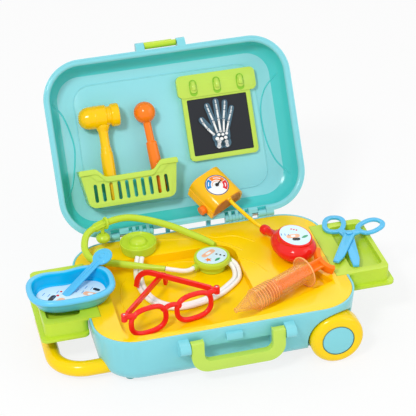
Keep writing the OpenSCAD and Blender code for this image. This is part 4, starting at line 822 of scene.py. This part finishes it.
def makeCuff():
    look = facesOf(cuffAt)

    def inner(face):
        # Faces that look towards the tunnel's middle take the darker orange, a painted shade
        middle, facing = look(face)
        inwards = facing.dot(Vector((-middle.x, 0, -6 - middle.z))) > 2
        return 1 if inwards and abs(middle.y) < 25.8 and abs(middle.x) < 27 and middle.z < 14 else 0

    dress("cuff", 0.5, 2, inner=inner, materials=["cuffOutside", "cuffTunnelShade"])
    outer, deep = cuff["lining"]
    end = cuff["end"]
    rings = [cuffRing(outer, -end), cuffRing(outer, end), cuffRing(deep, end), cuffRing(deep, -end)]
    ribs = [tube([(x, 0.1 - end, z), (x, end - 0.1, z)], cuff["rib"], cuffAt, 2)
            for x, y, z in cuffRing(deep, 0)[1:25:3]]
    # The lining in the tunnel takes the same darker orange, a painted shade
    addPiece("cuff_lining", join([loft(rings, cuffAt, closed=True)] + ribs), "lid", "yellow_plastic",
             materials=["cuffTunnelShade"], sharp=20)
    flutes = []
    for x in (-flute["x"], flute["x"]):
        for i in range(flute["rows"]):
            z = flute["first"] + flute["pitch"] * i
            flutes.append(tube([(x, -flute["half"], z), (x, flute["half"], z)], flute["radius"], cuffAt, 3))
    addPiece("cuff_flutes", join(flutes), "lid", "yellow_plastic", materials=["cuffOutside"], sharp=60)
    thick = cuff["print"]
    faceAt = cuffAt @ move(0, 0, cuff["dialFace"])
    dress("cuff_dial", 0.1, 1)
    printed("dial_white", [oval(0, 0, 17.2, 17.2, steps=64)], faceAt, "lid", "inkWhite", thick)
    markAt = faceAt @ move(0, 0, thick) @ turn(-cuff["dialTurn"], "Z")
    printed("dial_edge", [sector(16.2, 17.4, a, a + 120, 24) for a in (0, 120, 240)], markAt, "lid", "inkNavy", 0.04)
    printSet([
        ("dial_low", [sector(9.0, 15.6, 146, 214)], 0, "inkBlue"),
        ("dial_middle", [sector(9.0, 15.6, 44, 143)], 0, "inkOrange"),
        ("dial_high", [sector(9.0, 15.6, -24, 41)], 0, "inkRed"),
        ("dial_arc", [sector(6.2, 7.6, 30, 204, 30)], 0, "inkPeach"),
        ("dial_bands", [sector(11.6, 13.0, a, b) for a, b in ((164, 196), (68, 118), (-6, 24))], thick, "inkWhite"),
    ], markAt, "lid", thick)


makeCuff()

# ---- shell of the lid: the darker teal inside its walls is a painted shade, the paler teal on its panel a painted light
lid = {"panel": -38.6, "bead": (268, 180, 26), "middle": 127, "half": 181, "floor": -41, "lip": -4}
lidArcs = [[(-166, 198), (-152, 178), (-143, 142), (-144, 115), (-154, 77), (-169, 53)],
           [(168, 196), (147, 175), (137, 146), (138, 105), (148, 71), (167, 46)]]


def roundedLoop(x, y, z, long, wide, corner):
    # A level oblong with round corners
    loop = []
    for sx, sy, start in ((1, 1, 0), (-1, 1, 90), (-1, -1, 180), (1, -1, 270)):
        loop += arc(x + sx * (long / 2 - corner), y + sy * (wide / 2 - corner), corner, start)
    return [(px, py, z) for px, py in loop]


def embossed(node, place, knots, steps, radius, sink):
    # A soft raised line along a node's surface, thin at both ends
    line = dropped(node, smoothLine([(x, y, 0) for x, y in knots], steps), place, 10, sink)
    return tube(line, [0.2] + [radius] * (len(line) - 2) + [0.2], place, 2)


def makeLid():
    look = facesOf(lidAt)

    def inner(face):
        # The panel takes the third material, its paler teal a painted light, and the walls round it the second, their
        # darker teal a painted shade
        middle, facing = look(face)
        if facing.z > 0.9 and lid["floor"] < middle.z < -37:
            return 2
        inwards = facing.dot(Vector((-middle.x, lid["middle"] - middle.y, 10))) > 0
        within = abs(middle.x) < lid["half"] and 0 < middle.y < 2 * lid["middle"]
        return 1 if inwards and within and lid["floor"] < middle.z < lid["lip"] else 0

    dress("lid_shell", 0.6, 2, inner=inner, materials=["aqua_plastic", "lidWallShade", "lidPanelLit"])
    # The bead round the panel takes the panel's paler teal, a painted light
    beads = tube(roundedLoop(0, lid["middle"], lid["panel"], *lid["bead"]), 0.75, lidAt, 2, True)
    addPiece("lid_bead", beads, "lid", "aqua_plastic", materials=["lidPanelLit"], sharp=60)
    # The arcs on the walls take the walls' darker teal, a painted shade
    arcs = [embossed("lid_shell", lidAt, knots, 10, 1.3, 0.5) for knots in lidArcs]
    addPiece("lid_arcs", join(arcs), "lid", "aqua_plastic", materials=["lidWallShade"], sharp=60)


makeLid()
print("lid and what it holds made")

# ---- deck, its walls a darker orange-yellow that is a painted shade, with its soft embossed lines
deck = {"well": -14.5, "half": (236, 118)}
deckLines = [
    [(-110, 48), (-122, 24), (-128, -15), (-126, -49)],
    [(-49, 65), (-28, 66), (-9, 61)],
    [(37, 36), (51, 27), (66, 9), (77, -15)],
    [(8, 111), (30, 93), (56, 89), (81, 64)],
    [(-119, -93), (-111, -107), (-88, -115), (-34, -119)],
    [(-60, 112), (-20, 104), (16, 92), (40, 72), (58, 48)],
]


def makeDeck():
    look = facesOf(deckAt)

    def inner(face):
        # Upright faces above the wells' floor take the second material, a darker orange-yellow that is a painted
        # shade
        middle, facing = look(face)
        within = abs(middle.x) < deck["half"][0] and abs(middle.y) < deck["half"][1]
        return 1 if -0.3 < facing.z < 0.5 and middle.z > deck["well"] and within else 0

    dress("deck", 1.4, 3, inner=inner, materials=["yellow_plastic", "deckWallShade"])
    beads = [embossed("deck", deckAt, knots, 8, 1.4, 0.6) for knots in deckLines]
    addPiece("deck_beads", join(beads), "base", "yellow_plastic", sharp=60)


makeDeck()

# ---- the front of the glasses
glasses = {"bar": 3.6, "power": 2.6, "hinge": 67, "lensAt": (33, 22), "lens": (24.9, 18.8), "arm": 3.8, "bridge": 3.4}


def makeGlasses():
    # Two oval rims, the bridge between them and a hinge lug at each side
    parts = []
    out, up = glasses["lensAt"]
    for side in (-1, 1):
        rim = [(side * out + x, 0, up + z) for x, z in oval(0, 0, *glasses["lens"], glasses["power"], 56)]
        parts.append(tube(rim, glasses["bar"], glassesAt, 4, True))
        arm = smoothLine([(side * 51, 0, 34.6), (side * 57, 0, 36.4), (side * 64.6, 0, 37)], 4)
        parts.append(tube(arm, glasses["arm"], glassesAt, 4))
        for low, high in ((31.7, 34.3), (39.7, 42.3)):
            post = [(0, low), (4.2, low), (4.2, high), (0, high)]
            parts.append(lathe(softened(post, 0.6), glassesAt @ move(side * glasses["hinge"], 0, 0), 40))
    bridge = smoothLine([(-13, 0, 29), (-7, 0, 33.4), (0, 0, 35), (7, 0, 33.4), (13, 0, 29)], 5)
    parts.append(tube(bridge, glasses["bridge"], glassesAt, 4))
    addPiece("glasses_front_moulded", join(parts), "glasses", "red_plastic", ["glasses_front"], sharp=60)


makeGlasses()

# ---- the nodes whose own shape is right: width and steps of their rounded edges
widths = {"carry_handle": (2.6, 4), "temple_left": (1.5, 3), "temple_right": (1.5, 3),
          "scissor_left": (1.1, 3), "scissor_right": (1.1, 3), "scissor_rivet": (0.6, 2), "base_shell": (1.2, 2),
          "tray_left": (1.2, 3), "tray_right": (1.2, 3), "wheel_front": (2.0, 3), "wheel_back": (2.0, 3),
          "latch_flap": (0.9, 2), "plunger": (1.0, 3), "cuff_knob": (0.8, 2)}
for node in nodes:
    if not nodes[node].hide_render and node != "syringe_barrel":
        dress(node, *widths.get(node, (0.5, 2)), materials=["paleLime"] if node == "carry_handle" else ())

# ---- the syringe's clear barrel: rings by radius, height and thickness, in millimetres
syringe = {"barrel": 15, "first": 34.0, "pitch": 4.4, "rings": 8, "thick": 0.42, "flange": (21.4, 121.5, 0.9),
           "tip": (3.2, 1.2, 0.5)}


def ringAt(radius, height, thick):
    return tube([(x, y, height) for x, y in oval(0, 0, radius, radius, steps=56)], thick, syringeAt, 2, True)


def makeSyringe():
    dress("syringe_barrel", 0.45, 2, materials=["clear_orange"])
    rings = [ringAt(syringe["barrel"], syringe["first"] + syringe["pitch"] * i, syringe["thick"])
             for i in range(syringe["rings"])]
    rings += [ringAt(*syringe["flange"]), ringAt(*syringe["tip"])]
    addPiece("syringe_rings", join(rings), "syringe", slotOf["syringe_barrel"], materials=["paleOrange"], sharp=60)


makeSyringe()

# ---- the dark ring round each hubcap, a painted shadow in the gap round it
wheels = {"x": 141.5, "z": 21.0, "paintedShadowRing": 21.9, "thick": 0.45, "sunk": 0.2}


def makeShadowRings():
    for name, side in (("wheel_front", -1), ("wheel_back", 1)):
        low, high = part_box(name)
        out = (low[1] if side < 0 else high[1]) / mm + stand["middle"][1]
        at = caseAt @ move(wheels["x"], out - side * wheels["sunk"], wheels["z"]) @ turn(90, "X")
        ring = [(x, y, 0) for x, y in oval(0, 0, wheels["paintedShadowRing"], wheels["paintedShadowRing"], steps=56)]
        addPiece(name + "_painted_shadow_ring", tube(ring, wheels["thick"], at, 2, True), name, "black_plastic", materials=["paintedShadowRing"])


makeShadowRings()
print("nodes dressed")

# ---- floor, backdrop and light
room = {"size": 6, "floor": 0.86, "rough": 0.7, "shine": 0.1, "world": 0.6, "lift": 0.82}
# Power, place and size of each lamp
lamps = {"key": (38.0, (-1.3, -1.6, 2.2), 0.45), "fill": (12.0, (1.9, -1.2, 1.5), 1.6),
         "back": (10.0, (0.4, 1.6, 2.2), 1.6)}


def seenDirectly(tree):
    # 1 for rays from the camera, in reflections and through clear plastic
    paths = tree.nodes.new("ShaderNodeLightPath")
    seen = paths.outputs["Is Camera Ray"]
    for ray in ("Is Glossy Ray", "Is Transmission Ray"):
        either = tree.nodes.new("ShaderNodeMath")
        either.operation = "MAXIMUM"
        tree.links.new(seen, either.inputs[0])
        tree.links.new(paths.outputs[ray], either.inputs[1])
        seen = either.outputs[0]
    return seen


def makeFloor():
    work = bmesh.new()
    bmesh.ops.create_grid(work, x_segments=1, y_segments=1, size=room["size"])
    mesh = bpy.data.meshes.new("floor")
    work.to_mesh(mesh)
    work.free()
    floor = bpy.data.objects.new("floor", mesh)
    bpy.context.scene.collection.objects.link(floor)
    material, tree, shader = newMaterial("floor")
    shader.inputs["Base Color"].default_value = (room["floor"], room["floor"], room["floor"], 1)
    shader.inputs["Roughness"].default_value = room["rough"]
    shader.inputs["Specular IOR Level"].default_value = room["shine"]
    # The camera and reflections see the floor paler than it lights the case
    glow = tree.nodes.new("ShaderNodeEmission")
    glow.inputs["Color"].default_value = (1, 1, 1, 1)
    share = tree.nodes.new("ShaderNodeMath")
    share.operation = "MULTIPLY"
    share.inputs[1].default_value = room["lift"]
    mix = tree.nodes.new("ShaderNodeMixShader")
    tree.links.new(seenDirectly(tree), share.inputs[0])
    tree.links.new(share.outputs[0], mix.inputs[0])
    tree.links.new(shader.outputs["BSDF"], mix.inputs[1])
    tree.links.new(glow.outputs[0], mix.inputs[2])
    tree.links.new(mix.outputs[0], tree.nodes["Material Output"].inputs["Surface"])
    mesh.materials.append(material)


def makeWorld():
    world = bpy.data.worlds.new("studio")
    bpy.context.scene.world = world
    world.use_nodes = True
    tree = world.node_tree
    sky = tree.nodes["Background"]
    sky.inputs["Color"].default_value = (1, 1, 1, 1)
    sky.inputs["Strength"].default_value = room["world"]
    white = tree.nodes.new("ShaderNodeBackground")
    white.inputs["Color"].default_value = (1, 1, 1, 1)
    white.inputs["Strength"].default_value = 1
    mix = tree.nodes.new("ShaderNodeMixShader")
    tree.links.new(seenDirectly(tree), mix.inputs[0])
    tree.links.new(sky.outputs[0], mix.inputs[1])
    tree.links.new(white.outputs[0], mix.inputs[2])
    tree.links.new(mix.outputs[0], tree.nodes["World Output"].inputs["Surface"])


def makeLamps():
    for name, (power, place, size) in lamps.items():
        light = bpy.data.lights.new(name, "AREA")
        light.energy = power
        light.size = size
        lamp = bpy.data.objects.new(name, light)
        bpy.context.scene.collection.objects.link(lamp)
        aim = (Vector((0, 0, 0.1)) - Vector(place)).to_track_quat("-Z", "Y").to_matrix().to_4x4()
        lamp.matrix_world = Matrix.Translation(place) @ aim


makeFloor()
makeWorld()
makeLamps()
print("floor, world and lamps made")
bpy.context.scene.view_settings.view_transform = "Standard"
bpy.context.view_layer.update()
